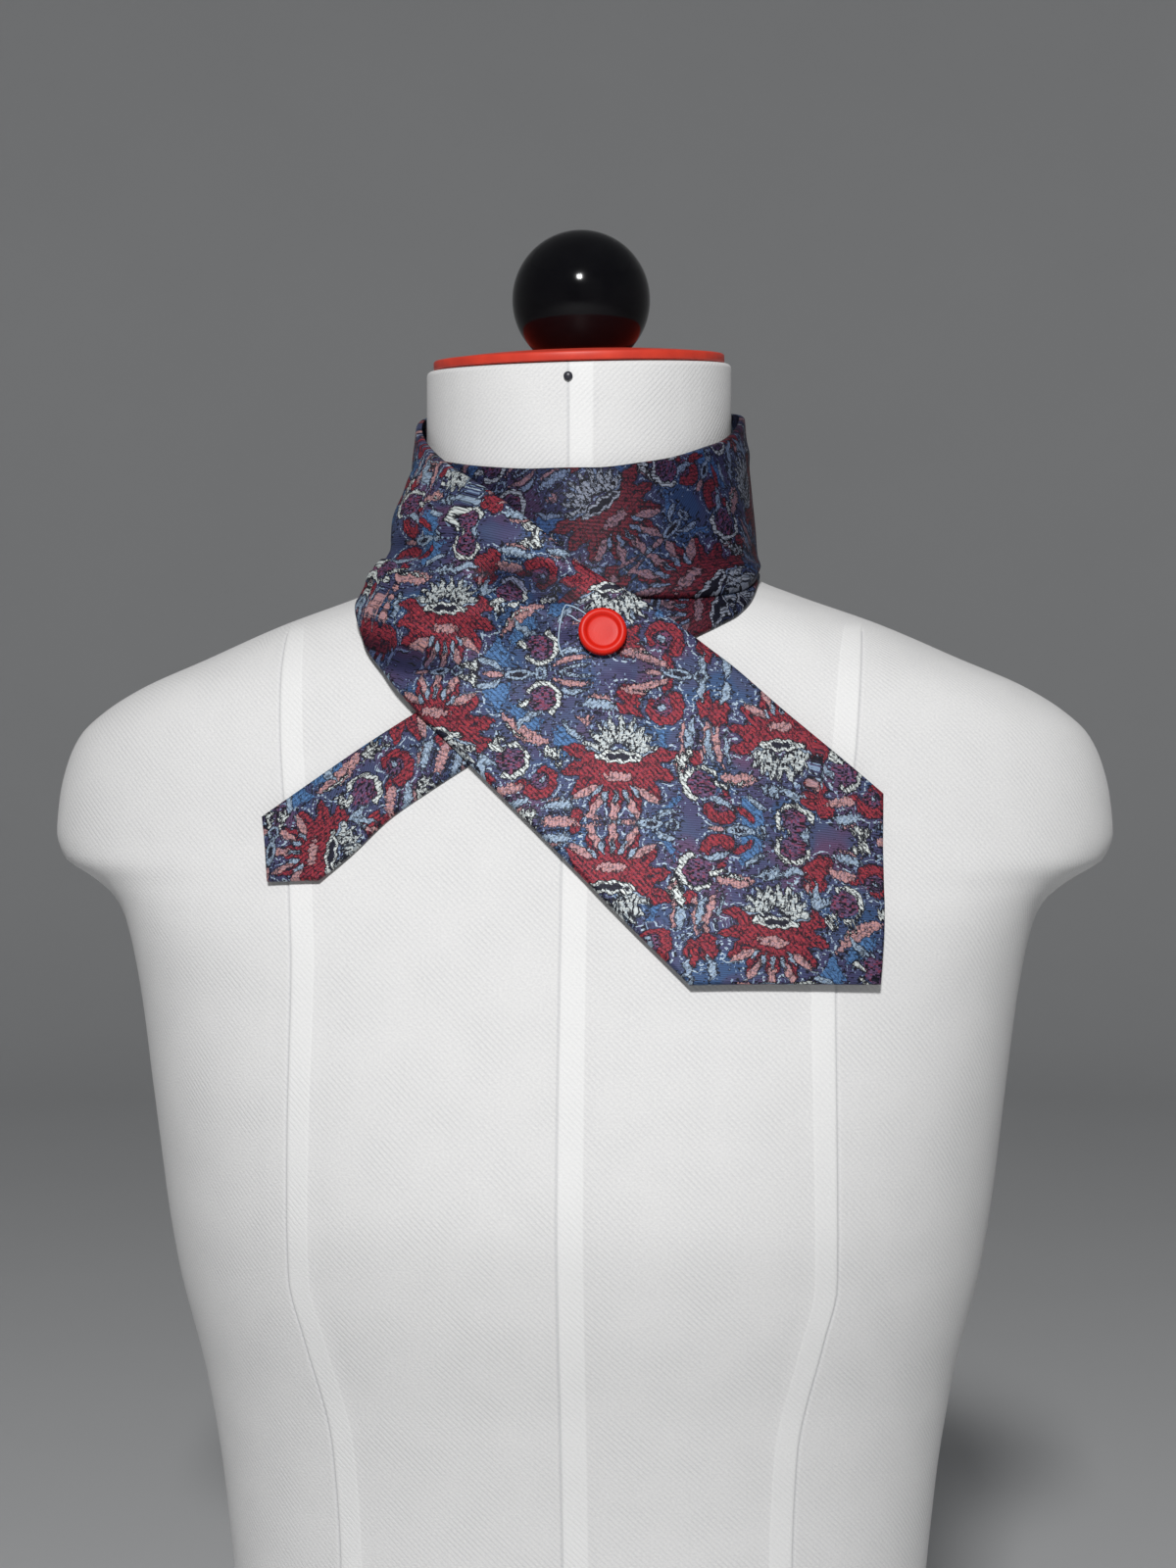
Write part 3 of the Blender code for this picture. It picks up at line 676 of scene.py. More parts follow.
class Stretch:
    """A stretch of cloth worked out as a fine grid: columns from end to end, steps across."""

    def __init__(self, rows, tip=None, folds=(), creases=(), taut=True, starts_at=0.0):
        edges = np.array([row.edges() for row in rows])
        upper, lower = edges[:, 0], edges[:, 1]
        lifts = np.array([(row.upper_lift, row.lower_lift) for row in rows])
        spans = np.linalg.norm(np.diff((upper + lower) / 2, axis=0), axis=1)
        places = np.concatenate([[0], np.cumsum(spans)])
        tip_starts = tip is not None and tip[0] < 0
        tip_ends = tip is not None and tip[0] > 0
        along = spaced(places[-1], tip_starts, tip_ends) * places[-1]
        values = smooth_columns(np.column_stack([places, upper, lower, lifts]), along)
        width = np.linalg.norm(values[:, 1:4] - values[:, 4:7], axis=1).mean()
        down = spaced(width, True, True)
        upper = seat_on_form(values[:, 1:4], values[:, 7])
        lower = seat_on_form(values[:, 4:7], values[:, 8])
        share = down[None, :, None]
        grid = upper[:, None] * (1 - share) + lower[:, None] * share
        drop = (values[:, 8] - values[:, 7])[:, None]
        least = values[:, 7][:, None] + drop * ease((down - LAP_STARTS) / LAP_LENGTH)
        if tip is not None:
            grid = drawn_to_point(grid, tip, down)
        grid = seat_on_form(grid, least, keep_outside=taut)
        off = evened(distance_from_form(grid), least, EVENING_PASSES)
        ripple = rise_of_creases(grid, creases)
        off = off + rise_of_folds(grid, folds) + ripple
        # Painted shade: the cloth's colour will be darkened along the troughs of its creases, the more the deeper they
        # are
        self.shade = 1 - HOLLOW_SHADE * np.clip(-ripple / HOLLOW_DEPTH, 0, 1)
        self.inner = seat_on_form(grid, np.maximum(off, least))
        self.measure(down, tip_starts, tip_ends, starts_at)

    def measure(self, down, tip_starts, tip_ends, starts_at):
        """Lengths along and across the cloth, in its own plane, and the outer side from them."""
        middle = self.inner[:, len(down) // 2]
        steps = np.linalg.norm(np.diff(middle, axis=0), axis=1)
        self.along = np.concatenate([[0], np.cumsum(steps)])
        across = np.linalg.norm(np.diff(self.inner, axis=1), axis=2)
        across = np.concatenate([np.zeros((len(middle), 1)), np.cumsum(across, axis=1)], axis=1)
        self.width = across[:, -1]
        chord = self.inner[:, -1] - self.inner[:, 0]
        line = np.gradient(middle, axis=0)
        lean = (chord * line).sum(axis=1) / np.linalg.norm(chord, axis=1) / np.linalg.norm(line, axis=1)
        self.breadth = self.width * np.sqrt(1 - lean**2)
        point = np.median(self.breadth)
        whole = (self.along >= point * tip_starts) & (self.along <= self.along[-1] - point * tip_ends)
        self.flat_width = self.breadth[whole].max()
        from_edge = np.minimum(across, self.width[:, None] - across)
        if tip_starts:
            from_edge = np.minimum(from_edge, self.along[:, None] * TIP_SLANT)
        if tip_ends:
            from_edge = np.minimum(from_edge, (self.along[-1] - self.along)[:, None] * TIP_SLANT)
        part = np.clip(from_edge / EDGE_ROUNDING, 0, 1)
        wall = CLOTH_THICKNESS * (EDGE_LEAST + (1 - EDGE_LEAST) * np.sqrt(1 - (1 - part) ** 2))
        slope = form_slope(self.inner)
        self.out = slope / np.linalg.norm(slope, axis=-1, keepdims=True)
        self.outer = self.inner + self.out * wall[..., None]
        from_middle = across - across[:, [len(down) // 2]]
        offset = self.inner - middle[:, None]
        line = line / np.linalg.norm(line, axis=1, keepdims=True)
        ahead = (offset * line[:, None]).sum(axis=-1) / np.maximum(np.linalg.norm(offset, axis=-1), 1e-6)
        ahead = np.clip(ahead, -0.98, 0.98)
        right = self.along[:, None] + starts_at + np.abs(from_middle) * ahead
        self.places = np.stack([right, -from_middle * np.sqrt(1 - ahead**2)], axis=-1)
        self.ends_at = starts_at + self.along[-1]

    def pattern_places(self):
        """Where each point lies on the drawing of the jacquard, which is cut on the bias."""
        along, above = self.places[..., 0], self.places[..., 1]
        turn_cos, turn_sin = math.cos(PATTERN_TURN), math.sin(PATTERN_TURN)
        right = along * turn_cos + above * turn_sin + PATTERN_ALONG
        up = above * turn_cos - along * turn_sin + PATTERN_UP
        return right, up

    def flat_area(self):
        steps = np.diff(self.along)
        return float(((self.breadth[1:] + self.breadth[:-1]) / 2 * steps).sum())


def new_object(name, vertices, faces, finish, attributes=(), smooth=True):
    """A mesh object from points in millimetres, with its attributes by point."""
    mesh = bpy.data.meshes.new(name)
    mesh.from_pydata((np.asarray(vertices) * MM).tolist(), [], faces)
    mesh.update()
    for label, kind, values in attributes:
        layer = mesh.attributes.new(label, kind, "POINT")
        field = "vector" if kind == "FLOAT_VECTOR" else "value"
        layer.data.foreach_set(field, np.ascontiguousarray(values, np.float32).ravel())
    if smooth:
        mesh.shade_smooth()
    mesh.materials.append(finish)
    made = bpy.data.objects.new(name, mesh)
    bpy.context.collection.objects.link(made)
    return made


def grid_faces(index, flip=False):
    """Quads over a grid of point numbers."""
    quads = np.stack([index[:-1, :-1], index[1:, :-1], index[1:, 1:], index[:-1, 1:]], axis=-1)
    quads = quads.reshape(-1, 4)
    return (quads[:, ::-1] if flip else quads).tolist()


def cloth_piece(name, stretch, finish):
    """The stretch as a closed thin shell: the outer side, a coarser under side, and the edge between."""
    columns, steps, _ = stretch.outer.shape
    outer_index = np.arange(columns * steps).reshape(columns, steps)
    kept = np.unique(np.round(np.linspace(0, steps - 1, UNDER_STEPS)).astype(int))
    under = stretch.inner[:, kept]
    under_index = np.arange(under.shape[0] * under.shape[1]).reshape(under.shape[:2]) + columns * steps
    faces = grid_faces(outer_index) + grid_faces(under_index, flip=True)
    for side, step in ((0, 1), (-1, -1)):
        edge = np.stack([under_index[:, side], outer_index[:, side]], axis=-1)[::step]
        faces += grid_faces(edge)
    for side in (0, -1):
        faces += end_faces(outer_index[side], under_index[side], kept, side == 0)
    vertices = np.concatenate([stretch.outer.reshape(-1, 3), under.reshape(-1, 3)])
    right, up = stretch.pattern_places()
    right = np.concatenate([right.ravel(), right[:, kept].ravel()])
    up = np.concatenate([up.ravel(), up[:, kept].ravel()])
    drawn = jacquard(right, up)
    busy = np.min([np.abs(drawn[yarn]) for yarn in YARNS], axis=0)
    attributes = [("weave", "FLOAT_VECTOR", np.column_stack([right, up, np.zeros(len(up))]))]
    attributes += [("yarn_" + yarn, "FLOAT", drawn[yarn]) for yarn in YARNS]
    attributes.append(("busy", "FLOAT", busy))
    attributes.append(("shade", "FLOAT", np.concatenate([stretch.shade.ravel(), stretch.shade[:, kept].ravel()])))
    made = new_object(name, vertices, faces, finish, attributes)
    body = bmesh.new()
    body.from_mesh(made.data)
    bmesh.ops.recalc_face_normals(body, faces=body.faces)
    body.to_mesh(made.data)
    body.free()
    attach(made, "root")
    return made


def end_faces(outer_line, under_line, kept, at_start):
    """Closes the end of a shell: each under step spans several outer ones."""
    faces = []
    for k in range(len(kept) - 1):
        span = [int(n) for n in outer_line[kept[k] : kept[k + 1] + 1]]
        face = span + [int(under_line[k + 1]), int(under_line[k])]
        faces.append(face if at_start else face[::-1])
    return faces


class Nodes:
    """A material's nodes, added one after another."""

    def __init__(self, name):
        self.material = bpy.data.materials.new(name)
        self.material.use_nodes = True
        self.tree = self.material.node_tree
        self.shader = self.tree.nodes["Principled BSDF"]

    def put(self, target, value):
        if isinstance(value, bpy.types.NodeSocket):
            self.tree.links.new(value, target)
        else:
            target.default_value = value

    def add(self, kind, inputs=(), **settings):
        node = self.tree.nodes.new(kind)
        for key, value in settings.items():
            setattr(node, key, value)
        for key, value in dict(inputs).items():
            self.put(node.inputs[key], value)
        return node

    def attribute(self, name, output="Fac"):
        return self.add("ShaderNodeAttribute", attribute_name=name).outputs[output]

    def math(self, operation, first, second=0.0, third=0.0, clamp=False):
        inputs = {0: first, 1: second, 2: third}
        node = self.add("ShaderNodeMath", inputs, operation=operation, use_clamp=clamp)
        return node.outputs[0]

    def blend(self, share, first, second, kind="MIX"):
        node = self.add("ShaderNodeMix", data_type="RGBA", blend_type=kind)
        self.put(node.inputs["Factor"], share)
        self.put(node.inputs[6], first if not isinstance(first, tuple) else (*first, 1))
        self.put(node.inputs[7], second if not isinstance(second, tuple) else (*second, 1))
        return node.outputs[2]

    def step(self, value, start, end):
        """0 below the start, 1 above the end."""
        inputs = {"Value": value, "From Min": start, "From Max": end, "To Min": 0.0, "To Max": 1.0}
        return self.add("ShaderNodeMapRange", inputs, clamp=True).outputs[0]

    def noise(self, vector, scale, detail=2.0):
        inputs = {"Vector": vector, "Scale": scale, "Detail": detail}
        return self.add("ShaderNodeTexNoise", inputs).outputs[0]

    def scaled(self, vector, factors):
        inputs = {0: vector, 1: factors}
        return self.add("ShaderNodeVectorMath", inputs, operation="MULTIPLY").outputs[0]

    def speckle(self, vector, cell_along, cell_up):
        """A value from 0 to 1 that is the same all over one small cell of the weave."""
        cells = self.scaled(vector, (1 / cell_along, 1 / cell_up, 1))
        floor = self.add("ShaderNodeVectorMath", {0: cells}, operation="FLOOR").outputs[0]
        return self.add("ShaderNodeTexWhiteNoise", {"Vector": floor}, noise_dimensions="2D").outputs[0]

    def ribs(self, vector, along, up, share):
        """1 on evenly spaced lines that cross the direction, 0 between them; share is their part."""
        split = self.add("ShaderNodeSeparateXYZ", {0: vector})
        place = self.math("ADD", self.math("MULTIPLY", split.outputs[0], along), self.math("MULTIPLY", split.outputs[1], up))
        wave = self.math("SINE", self.math("MULTIPLY", place, 2 * math.pi))
        edge = math.cos(math.pi * share)
        return self.step(wave, edge - 0.25, edge + 0.25)

    def shade(self, **inputs):
        for key, value in inputs.items():
            self.put(self.shader.inputs[key.replace("_", " ")], value)

    def bump(self, height, strength, distance):
        inputs = {"Height": height, "Strength": strength, "Distance": distance}
        self.put(self.shader.inputs["Normal"], self.add("ShaderNodeBump", inputs).outputs[0])


class Yarn(NamedTuple):
    """How one yarn of the jacquard looks: its colour, a second shade, its ribs across it, and its outline."""

    colour: tuple
    shade: tuple
    ribs_along: float
    ribs_up: float
    ribs_share: float
    ribs_depth: float
    outline: float
    scribble: float


INK = (0.008, 0.008, 0.014)
GROUND = (0.062, 0.082, 0.172)
GROUND_VIOLET = (0.064, 0.062, 0.148)
GROUND_LILAC = (0.115, 0.062, 0.135)
GROUND_DENIM = (0.045, 0.095, 0.215)
YARN_LOOKS = {
    "sky": Yarn((0.105, 0.235, 0.46), (0.055, 0.135, 0.31), 0.52, 0.52, 0.32, 0.6, 0.35, 0.3),
    "plum": Yarn((0.185, 0.105, 0.205), (0.110, 0.062, 0.140), 0.40, 0.75, 0.30, 0.5, 0.0, 0.6),
    "red": Yarn((0.41, 0.040, 0.050), (0.19, 0.030, 0.055), 0.50, 0.50, 0.36, 0.8, 0.8, 0.75),
    "pink": Yarn((0.62, 0.31, 0.28), (0.36, 0.235, 0.285), 0.85, 0.0, 0.24, 0.45, 0.75, 0.6),
    "mist": Yarn((0.40, 0.50, 0.60), (0.23, 0.32, 0.46), 0.55, -0.55, 0.26, 0.5, 0.85, 0.5),
    "fern": Yarn((0.66, 0.69, 0.66), (0.38, 0.44, 0.48), 0.0, 0.8, 0.20, 0.4, 0.9, 0.0),
    "cream": Yarn((0.80, 0.83, 0.79), (0.56, 0.62, 0.64), 0.60, 0.60, 0.36, 0.95, 1.0, 0.35),
    "ink": Yarn(INK, (0.02, 0.02, 0.04), 0.0, 1.20, 0.20, 0.2, 0.0, 0.0),
}
RAGGED = 0.22
OUTLINE_WIDTH = 0.36
CELL_ALONG = 0.42
CELL_UP = 0.36
ECHO_AT = 1.5
SHADOW_TINT = (0.07, 0.08, 0.22)
ECHO_WIDTH = 0.26


def silk_material():
    """A silk jacquard: each yarn covers what its field draws, with ragged edges, ribs and a dark outline."""
    nodes = Nodes("silk_jacquard_weave")
    weave = nodes.attribute("weave", "Vector")
    ragged = nodes.math("MULTIPLY_ADD", nodes.speckle(weave, CELL_ALONG, CELL_UP), RAGGED * 2, -RAGGED)
    worn = nodes.noise(nodes.scaled(weave, (0.07, 0.07, 1)), 1.0)
    fine = nodes.noise(nodes.scaled(weave, (0.8, 2.6, 1)), 1.0)
    colour = nodes.blend(nodes.step(worn, 0.42, 0.6), GROUND, GROUND_VIOLET)
    tint = nodes.noise(nodes.scaled(weave, (0.045, 0.055, 1)), 1.0, 1.0)
    colour = nodes.blend(nodes.step(tint, 0.56, 0.66), colour, GROUND_LILAC)
    colour = nodes.blend(nodes.step(tint, 0.44, 0.36), colour, GROUND_DENIM)
    threads = nodes.ribs(weave, 0.0, 1.25, 0.36)
    colour = nodes.blend(nodes.math("MULTIPLY", threads, 0.42), colour, INK)
    height = nodes.math("MULTIPLY", threads, -0.35)
    near_motif = nodes.step(nodes.attribute("busy"), 3.4, 0.6)
    strokes = nodes.noise(nodes.scaled(weave, (0.62, 1.15, 1)), 1.0, 1.0)
    scribble = nodes.math("MULTIPLY_ADD", near_motif, 0.19, strokes)
    colour = nodes.blend(nodes.math("MULTIPLY", nodes.step(scribble, 0.72, 0.74), 0.95), colour, INK)
    other = nodes.noise(nodes.scaled(weave, (1.1, 0.55, 1)), 1.0, 1.0)
    glint = nodes.math("MULTIPLY_ADD", near_motif, 0.13, other)
    colour = nodes.blend(nodes.step(glint, 0.76, 0.775), colour, YARN_LOOKS["mist"].shade)
    echo = nodes.math("ABSOLUTE", nodes.math("SUBTRACT", nodes.attribute("yarn_red"), ECHO_AT))
    echo = nodes.math("ADD", echo, nodes.math("MULTIPLY", ragged, 0.5))
    echo = nodes.math("MULTIPLY", nodes.step(echo, ECHO_WIDTH + 0.06, ECHO_WIDTH), nodes.step(strokes, 0.50, 0.53))
    colour = nodes.blend(echo, colour, YARN_LOOKS["mist"].colour)
    carved = nodes.math("ABSOLUTE", nodes.math("SUBTRACT", nodes.noise(nodes.scaled(weave, (0.30, 0.42, 1)), 1.0, 1.0), 0.5))
    carved = nodes.math("MULTIPLY_ADD", ragged, 0.02, carved)
    carved = nodes.step(carved, 0.024, 0.017)
    for yarn in YARNS:
        look = YARN_LOOKS[yarn]
        field = nodes.math("ADD", nodes.attribute("yarn_" + yarn), ragged)
        inside = nodes.step(field, 0.06, -0.06)
        if look.outline:
            near = nodes.step(field, OUTLINE_WIDTH + 0.08, OUTLINE_WIDTH)
            colour = nodes.blend(nodes.math("MULTIPLY", near, look.outline), colour, INK)
        own = nodes.blend(nodes.step(fine, 0.4, 0.62), look.shade, look.colour)
        lines = nodes.ribs(weave, look.ribs_along, look.ribs_up, look.ribs_share)
        patchy = nodes.math("MULTIPLY", nodes.step(strokes, 0.38, 0.58), look.ribs_depth)
        own = nodes.blend(nodes.math("MULTIPLY", lines, patchy), own, INK)
        own = nodes.blend(nodes.math("MULTIPLY", nodes.step(other, 0.585, 0.61), look.scribble), own, INK)
        if yarn == "fern":
            holes = nodes.step(nodes.noise(nodes.scaled(weave, (1.25, 0.5, 1)), 1.0, 1.0), 0.56, 0.58)
            own = nodes.blend(holes, own, INK)
        if yarn == "plum":
            flecks = nodes.speckle(weave, 0.9, 0.5)
            own = nodes.blend(nodes.step(flecks, 0.72, 0.76), own, INK)
            own = nodes.blend(nodes.step(flecks, 0.22, 0.18), own, (0.22, 0.05, 0.10))
        own = nodes.blend(nodes.math("MULTIPLY", carved, 0.65), own, INK)
        colour = nodes.blend(inside, colour, own)
        rise = nodes.math("MULTIPLY", inside, nodes.math("MULTIPLY_ADD", lines, -0.4, 0.5))
        height = nodes.math("MAXIMUM", height, rise)
    colour = nodes.blend(nodes.step(fine, 0.35, 0.75), nodes.blend(0.18, colour, INK), colour)
    # Painted shade: where the shade attribute is below 1, the colour is darkened and tinted blue
    shadowed = nodes.blend(1.0, colour, SHADOW_TINT, "MULTIPLY")
    colour = nodes.blend(nodes.attribute("shade"), shadowed, colour)
    rough = nodes.math("MULTIPLY_ADD", fine, 0.22, 0.42)
    nodes.shade(Base_Color=colour, Roughness=rough, Specular_IOR_Level=0.16, Sheen_Weight=0.0, Metallic=0.2)
    nodes.shade(Sheen_Roughness=0.4, Sheen_Tint=(0.75, 0.78, 1.0, 1))
    nodes.bump(height, 0.55, 0.00022)
    return nodes.material


def cover_material():
    """White cotton twill over the form: fine slanting ribs, seams, and the paler strips of their turnings."""
    nodes = Nodes("form_cover_twill")
    panel = nodes.attribute("panel", "Vector")
    ribs = nodes.ribs(panel, 0.45, 0.45, 0.40)
    slub = nodes.noise(nodes.scaled(panel, (1.1, 1.5, 1)), 1.0, 3.0)
    cloudy = nodes.noise(nodes.scaled(panel, (0.035, 0.035, 1)), 1.0, 3.0)
    lint = nodes.step(nodes.noise(nodes.scaled(panel, (0.55, 0.4, 1)), 1.0, 2.0), 0.70, 0.76)
    patchy = nodes.step(nodes.noise(nodes.scaled(panel, (0.05, 0.05, 1)), 1.0, 2.0), 0.3, 0.7)
    ribs = nodes.math("MULTIPLY", ribs, nodes.math("MULTIPLY_ADD", patchy, 0.7, 0.2))
    colour = nodes.blend(nodes.math("MULTIPLY", ribs, 0.6), (0.81, 0.805, 0.795), (0.64, 0.64, 0.645))
    colour = nodes.blend(nodes.step(slub, 0.3, 0.75), nodes.blend(0.30, colour, (0.45, 0.45, 0.47)), colour)
    colour = nodes.blend(nodes.math("MULTIPLY", cloudy, 0.16), colour, (0.68, 0.67, 0.66))
    colour = nodes.blend(nodes.math("MULTIPLY", lint, 0.25), colour, (0.9, 0.9, 0.9))
    strip = nodes.attribute("strip")
    colour = nodes.blend(nodes.math("MULTIPLY", strip, 0.36), colour, (0.92, 0.92, 0.91))
    seam = nodes.attribute("seam")
    line = nodes.step(seam, 0.75, 0.25)
    colour = nodes.blend(nodes.math("MULTIPLY", line, 0.30), colour, (0.40, 0.41, 0.43))
    nodes.shade(Base_Color=colour, Roughness=0.88, Specular_IOR_Level=0.25)
    nodes.shade(Sheen_Weight=0.05, Sheen_Roughness=0.6)
    height = nodes.math("ADD", nodes.math("MULTIPLY", ribs, -0.5), slub)
    nodes.bump(height, 0.6, 0.0002)
    return nodes.material


def plastic_material(name, colour, shade, roughness, coat=0.0, grain=0.00004, gloss=0.5):
    """Moulded plastic or lacquer with a fine grain, faint mottling and rubbed patches."""
    nodes = Nodes(name)
    place = nodes.add("ShaderNodeTexCoord").outputs["Object"]
    mottle = nodes.noise(place, 120.0, 3.0)
    grain_noise = nodes.noise(place, 2600.0, 2.0)
    mixed = nodes.blend(nodes.step(mottle, 0.35, 0.7), shade, colour)
    rough = nodes.math("MULTIPLY_ADD", mottle, 0.12, roughness)
    nodes.shade(Base_Color=mixed, Roughness=rough, Coat_Weight=coat, Coat_Roughness=0.05)
    nodes.shade(Specular_IOR_Level=gloss)
    nodes.bump(grain_noise, 0.35, grain)
    return nodes.material


def thread_material():
    """Pale blue twisted thread."""
    nodes = Nodes("sewing_thread")
    place = nodes.add("ShaderNodeTexCoord").outputs["Object"]
    twist = nodes.add("ShaderNodeTexWave", {"Vector": place, "Scale": 900.0, "Distortion": 1.0}).outputs["Fac"]
    colour = nodes.blend(twist, (0.30, 0.42, 0.56), (0.48, 0.60, 0.72))
    nodes.shade(Base_Color=colour, Roughness=0.6, Sheen_Weight=0.2)
    nodes.bump(twist, 0.4, 0.00005)
    return nodes.material


FORM_RING_RUNS = ((4.4, 5), (400, 2.4), (477, 1.25), (545, 4), (590, 4))
DENSE = 721
STRIP_WIDTH = 8.6
SEAM_STEPS = (0.0, 0.35, 0.8, 1.5, 2.6)
STRIP_STEPS = (8.0, 8.5, 9.1)
PANEL_STEPS = 14
SEAM_DEPTH = 0.32
SEAM_WIDTH = 0.40
STRIP_RISE = 0.12
SHOULDER_SEAM_TOP = 509.0
# The neck's cover is cut apart, with its twill the other way; the join is under the cloth
NECK_COVER_STARTS = 536.0
# Height, and how far the seams between the centre and side panels lie from the middle, in front and behind
SIDE_FRONT_SEAM = ((0, 85), (179, 78), (222, 79.5), (262, 88), (283, 92.6), (383, 92), (467, 100.5), (509, 104))
SIDE_BACK_SEAM = ((0, 72), (179, 62), (222, 64), (300, 76), (383, 86), (467, 98), (509, 104))


def half_ring(height, tilt=0.0, scale=1.0):
    """A dense level half ring of the form on the +X side, from the front's middle to the back's."""
    _, half_width, front, back, squareness = smooth_columns(FORM_SECTIONS, height)
    angles = np.linspace(0, math.pi, DENSE)
    sine, cosine = np.sin(angles), np.cos(angles)
    power = 2 / squareness
    x = half_width * np.abs(sine) ** power
    y = -np.where(cosine > 0, front, back) * np.sign(cosine) * np.abs(cosine) ** power
    x[[0, -1]] = 0
    y[DENSE // 2] = 0
    z = np.full(DENSE, float(height)) + y * math.tan(tilt)
    return np.column_stack([x * scale, y * scale, z])


def seam_places(ring, height):
    """The lengths along a half ring at which its five seams lie."""
    steps = np.linalg.norm(np.diff(ring[:, :2], axis=0), axis=1)
    length = np.concatenate([[0], np.cumsum(steps)])
    half = DENSE // 2
    widest = ring[half, 0]
    fade = ease((height - SHOULDER_SEAM_TOP) / 22)
    places = []
    for seam, part, way in ((SIDE_FRONT_SEAM, slice(0, half + 1), 1), (SIDE_BACK_SEAM, slice(half, DENSE), -1)):
        reach = min(float(smooth_columns(seam, height)[1]), widest * 0.92)
        reach += (widest * 0.72 - reach) * fade
        xs, lengths = ring[part, 0][::way], length[part][::way]
        places.append(np.interp(reach, xs, lengths))
    return length, np.array([0, places[0], length[half], places[1], length[-1]])


def torso_columns(places):
    """Lengths along a half ring for each column, close together by the seams."""
    columns = [0.0]
    for panel in range(4):
        start, end = places[panel], places[panel + 1]
        room = (end - start) / 2
        before = [min(step, room * (k + 1) / 12) for k, step in enumerate(SEAM_STEPS[1:] + STRIP_STEPS)]
        first = start + np.array(before)
        last = end - np.array(before)[::-1]
        middle = np.linspace(first[-1], last[0], PANEL_STEPS + 1)[1:-1]
        columns += [*first, *middle, *last, end]
    return np.array(columns)


def torso_piece(finish):
    """The form's body with its cover: fine rings, sunk seams, and low strips beside them."""
    heights = [0.0, BASE_ROUNDING * 0.3]
    for (start, step), (end, _) in zip(FORM_RING_RUNS, FORM_RING_RUNS[1:]):
        heights += list(np.linspace(start, end, round((end - start) / step), endpoint=False))
    rows, seams, strips, panels = [], [], [], []
    levels = [(height, 0.0, 1 - 0.025 * max(0, 1 - height / BASE_ROUNDING) ** 2, height) for height in heights]
    for angle in np.radians([0, 20, 40, 60, 78, 90]):
        inset = 2.0 * (1 - math.cos(angle))
        drop = 2.0 * (1 - math.sin(angle))
        levels.append((NECK_TOP_HEIGHT - drop, NECK_TILT, 1 - inset / NECK_RADIUS, NECK_TOP_HEIGHT))
    for height, tilt, scale, level in levels:
        ring = half_ring(height, tilt, scale)
        length, places = seam_places(ring, level)
        at = torso_columns(places)
        half = np.column_stack([np.interp(at, length, ring[:, axis]) for axis in range(3)])
        off = np.abs(at[:, None] - places[None]).min(axis=1)
        before_side = (places[1] - at) * (at < places[1])
        before_back = (at - places[3]) * (at > places[3])
        left = np.maximum(before_side * (before_side < STRIP_WIDTH), before_back * (before_back < STRIP_WIDTH))
        right = np.maximum(left, at * (at < STRIP_WIDTH))
        fade = 1 - ease((level - SHOULDER_SEAM_TOP + 4) / 5)
        side_only = (np.abs(at - places[1]) < 12) | (np.abs(at - places[3]) < 12)
        other = np.abs(at[:, None] - places[None, [0, 2, 4]]).min(axis=1)
        off = np.where(side_only, off + (other - off) * (1 - fade), off)
        strip_right = (right > 0.05) * np.where(side_only | (left > 0), fade, 1.0)
        strip_left = (left > 0.05) * fade
        mirrored = half[1:-1][::-1] * (-1, 1, 1)
        ring = np.concatenate([half, mirrored])
        if tilt:
            ring[:, 2] += ring[:, 0] * math.tan(NECK_ROLL)
        rows.append(ring)
        seams.append(np.concatenate([off, off[1:-1][::-1]]))
        strips.append(np.concatenate([strip_right, strip_left[1:-1][::-1]]))
        panels.append(np.concatenate([at, -at[1:-1][::-1]]))
    rows, seams, strips = np.array(rows), np.array(seams), np.array(strips, float)
    panels = np.array(panels)
    climb = np.linalg.norm(np.diff(rows, axis=0), axis=2)
    climb = np.concatenate([np.zeros((1, rows.shape[1])), np.cumsum(climb, axis=0)])
    on_neck = np.array([level > NECK_COVER_STARTS for *_, level in levels])
    climb[on_neck] = -rows[on_neck, :, 2]
    sink = STRIP_RISE * strips - SEAM_DEPTH * np.exp(-((seams / SEAM_WIDTH) ** 2))
    sink[:2] = 0
    sink[-6:] *= 0
    slope = form_slope(rows)
    rows = rows + slope / np.linalg.norm(slope, axis=-1, keepdims=True) * sink[..., None]
    index = np.arange(rows.size // 3).reshape(rows.shape[:2])
    around = np.concatenate([index, index[:, :1]], axis=1)
    faces = grid_faces(around.T)
    vertices = np.concatenate([rows.reshape(-1, 3), [rows[0].mean(axis=0)], [rows[-1].mean(axis=0)]])
    low, high = rows.size // 3, rows.size // 3 + 1
    faces += [[low, int(a), int(b)] for a, b in zip(around[0, 1:], around[0, :-1])]
    faces += [[high, int(a), int(b)] for a, b in zip(around[-1, :-1], around[-1, 1:])]
    ends = np.zeros((2, 3))
    places = np.concatenate([np.stack([panels, climb, np.zeros_like(climb)], axis=-1).reshape(-1, 3), ends])
    attributes = (
        ("panel", "FLOAT_VECTOR", places),
        ("seam", "FLOAT", np.concatenate([seams.ravel(), (9, 9)])),
        ("strip", "FLOAT", np.concatenate([strips.ravel(), (0, 0)])),
    )
    return finished(new_object("form_torso_cover", vertices, faces, finish, attributes), "form_torso")


def finished(made, node):
    """Squares up a piece's faces, and lets it stand for its node."""
    body = bmesh.new()
    body.from_mesh(made.data)
    bmesh.ops.remove_doubles(body, verts=body.verts, dist=0.000002)
    bmesh.ops.recalc_face_normals(body, faces=body.faces)
    body.to_mesh(made.data)
    body.free()
    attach(made, "root")
    if node:
        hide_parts(node)
    return made


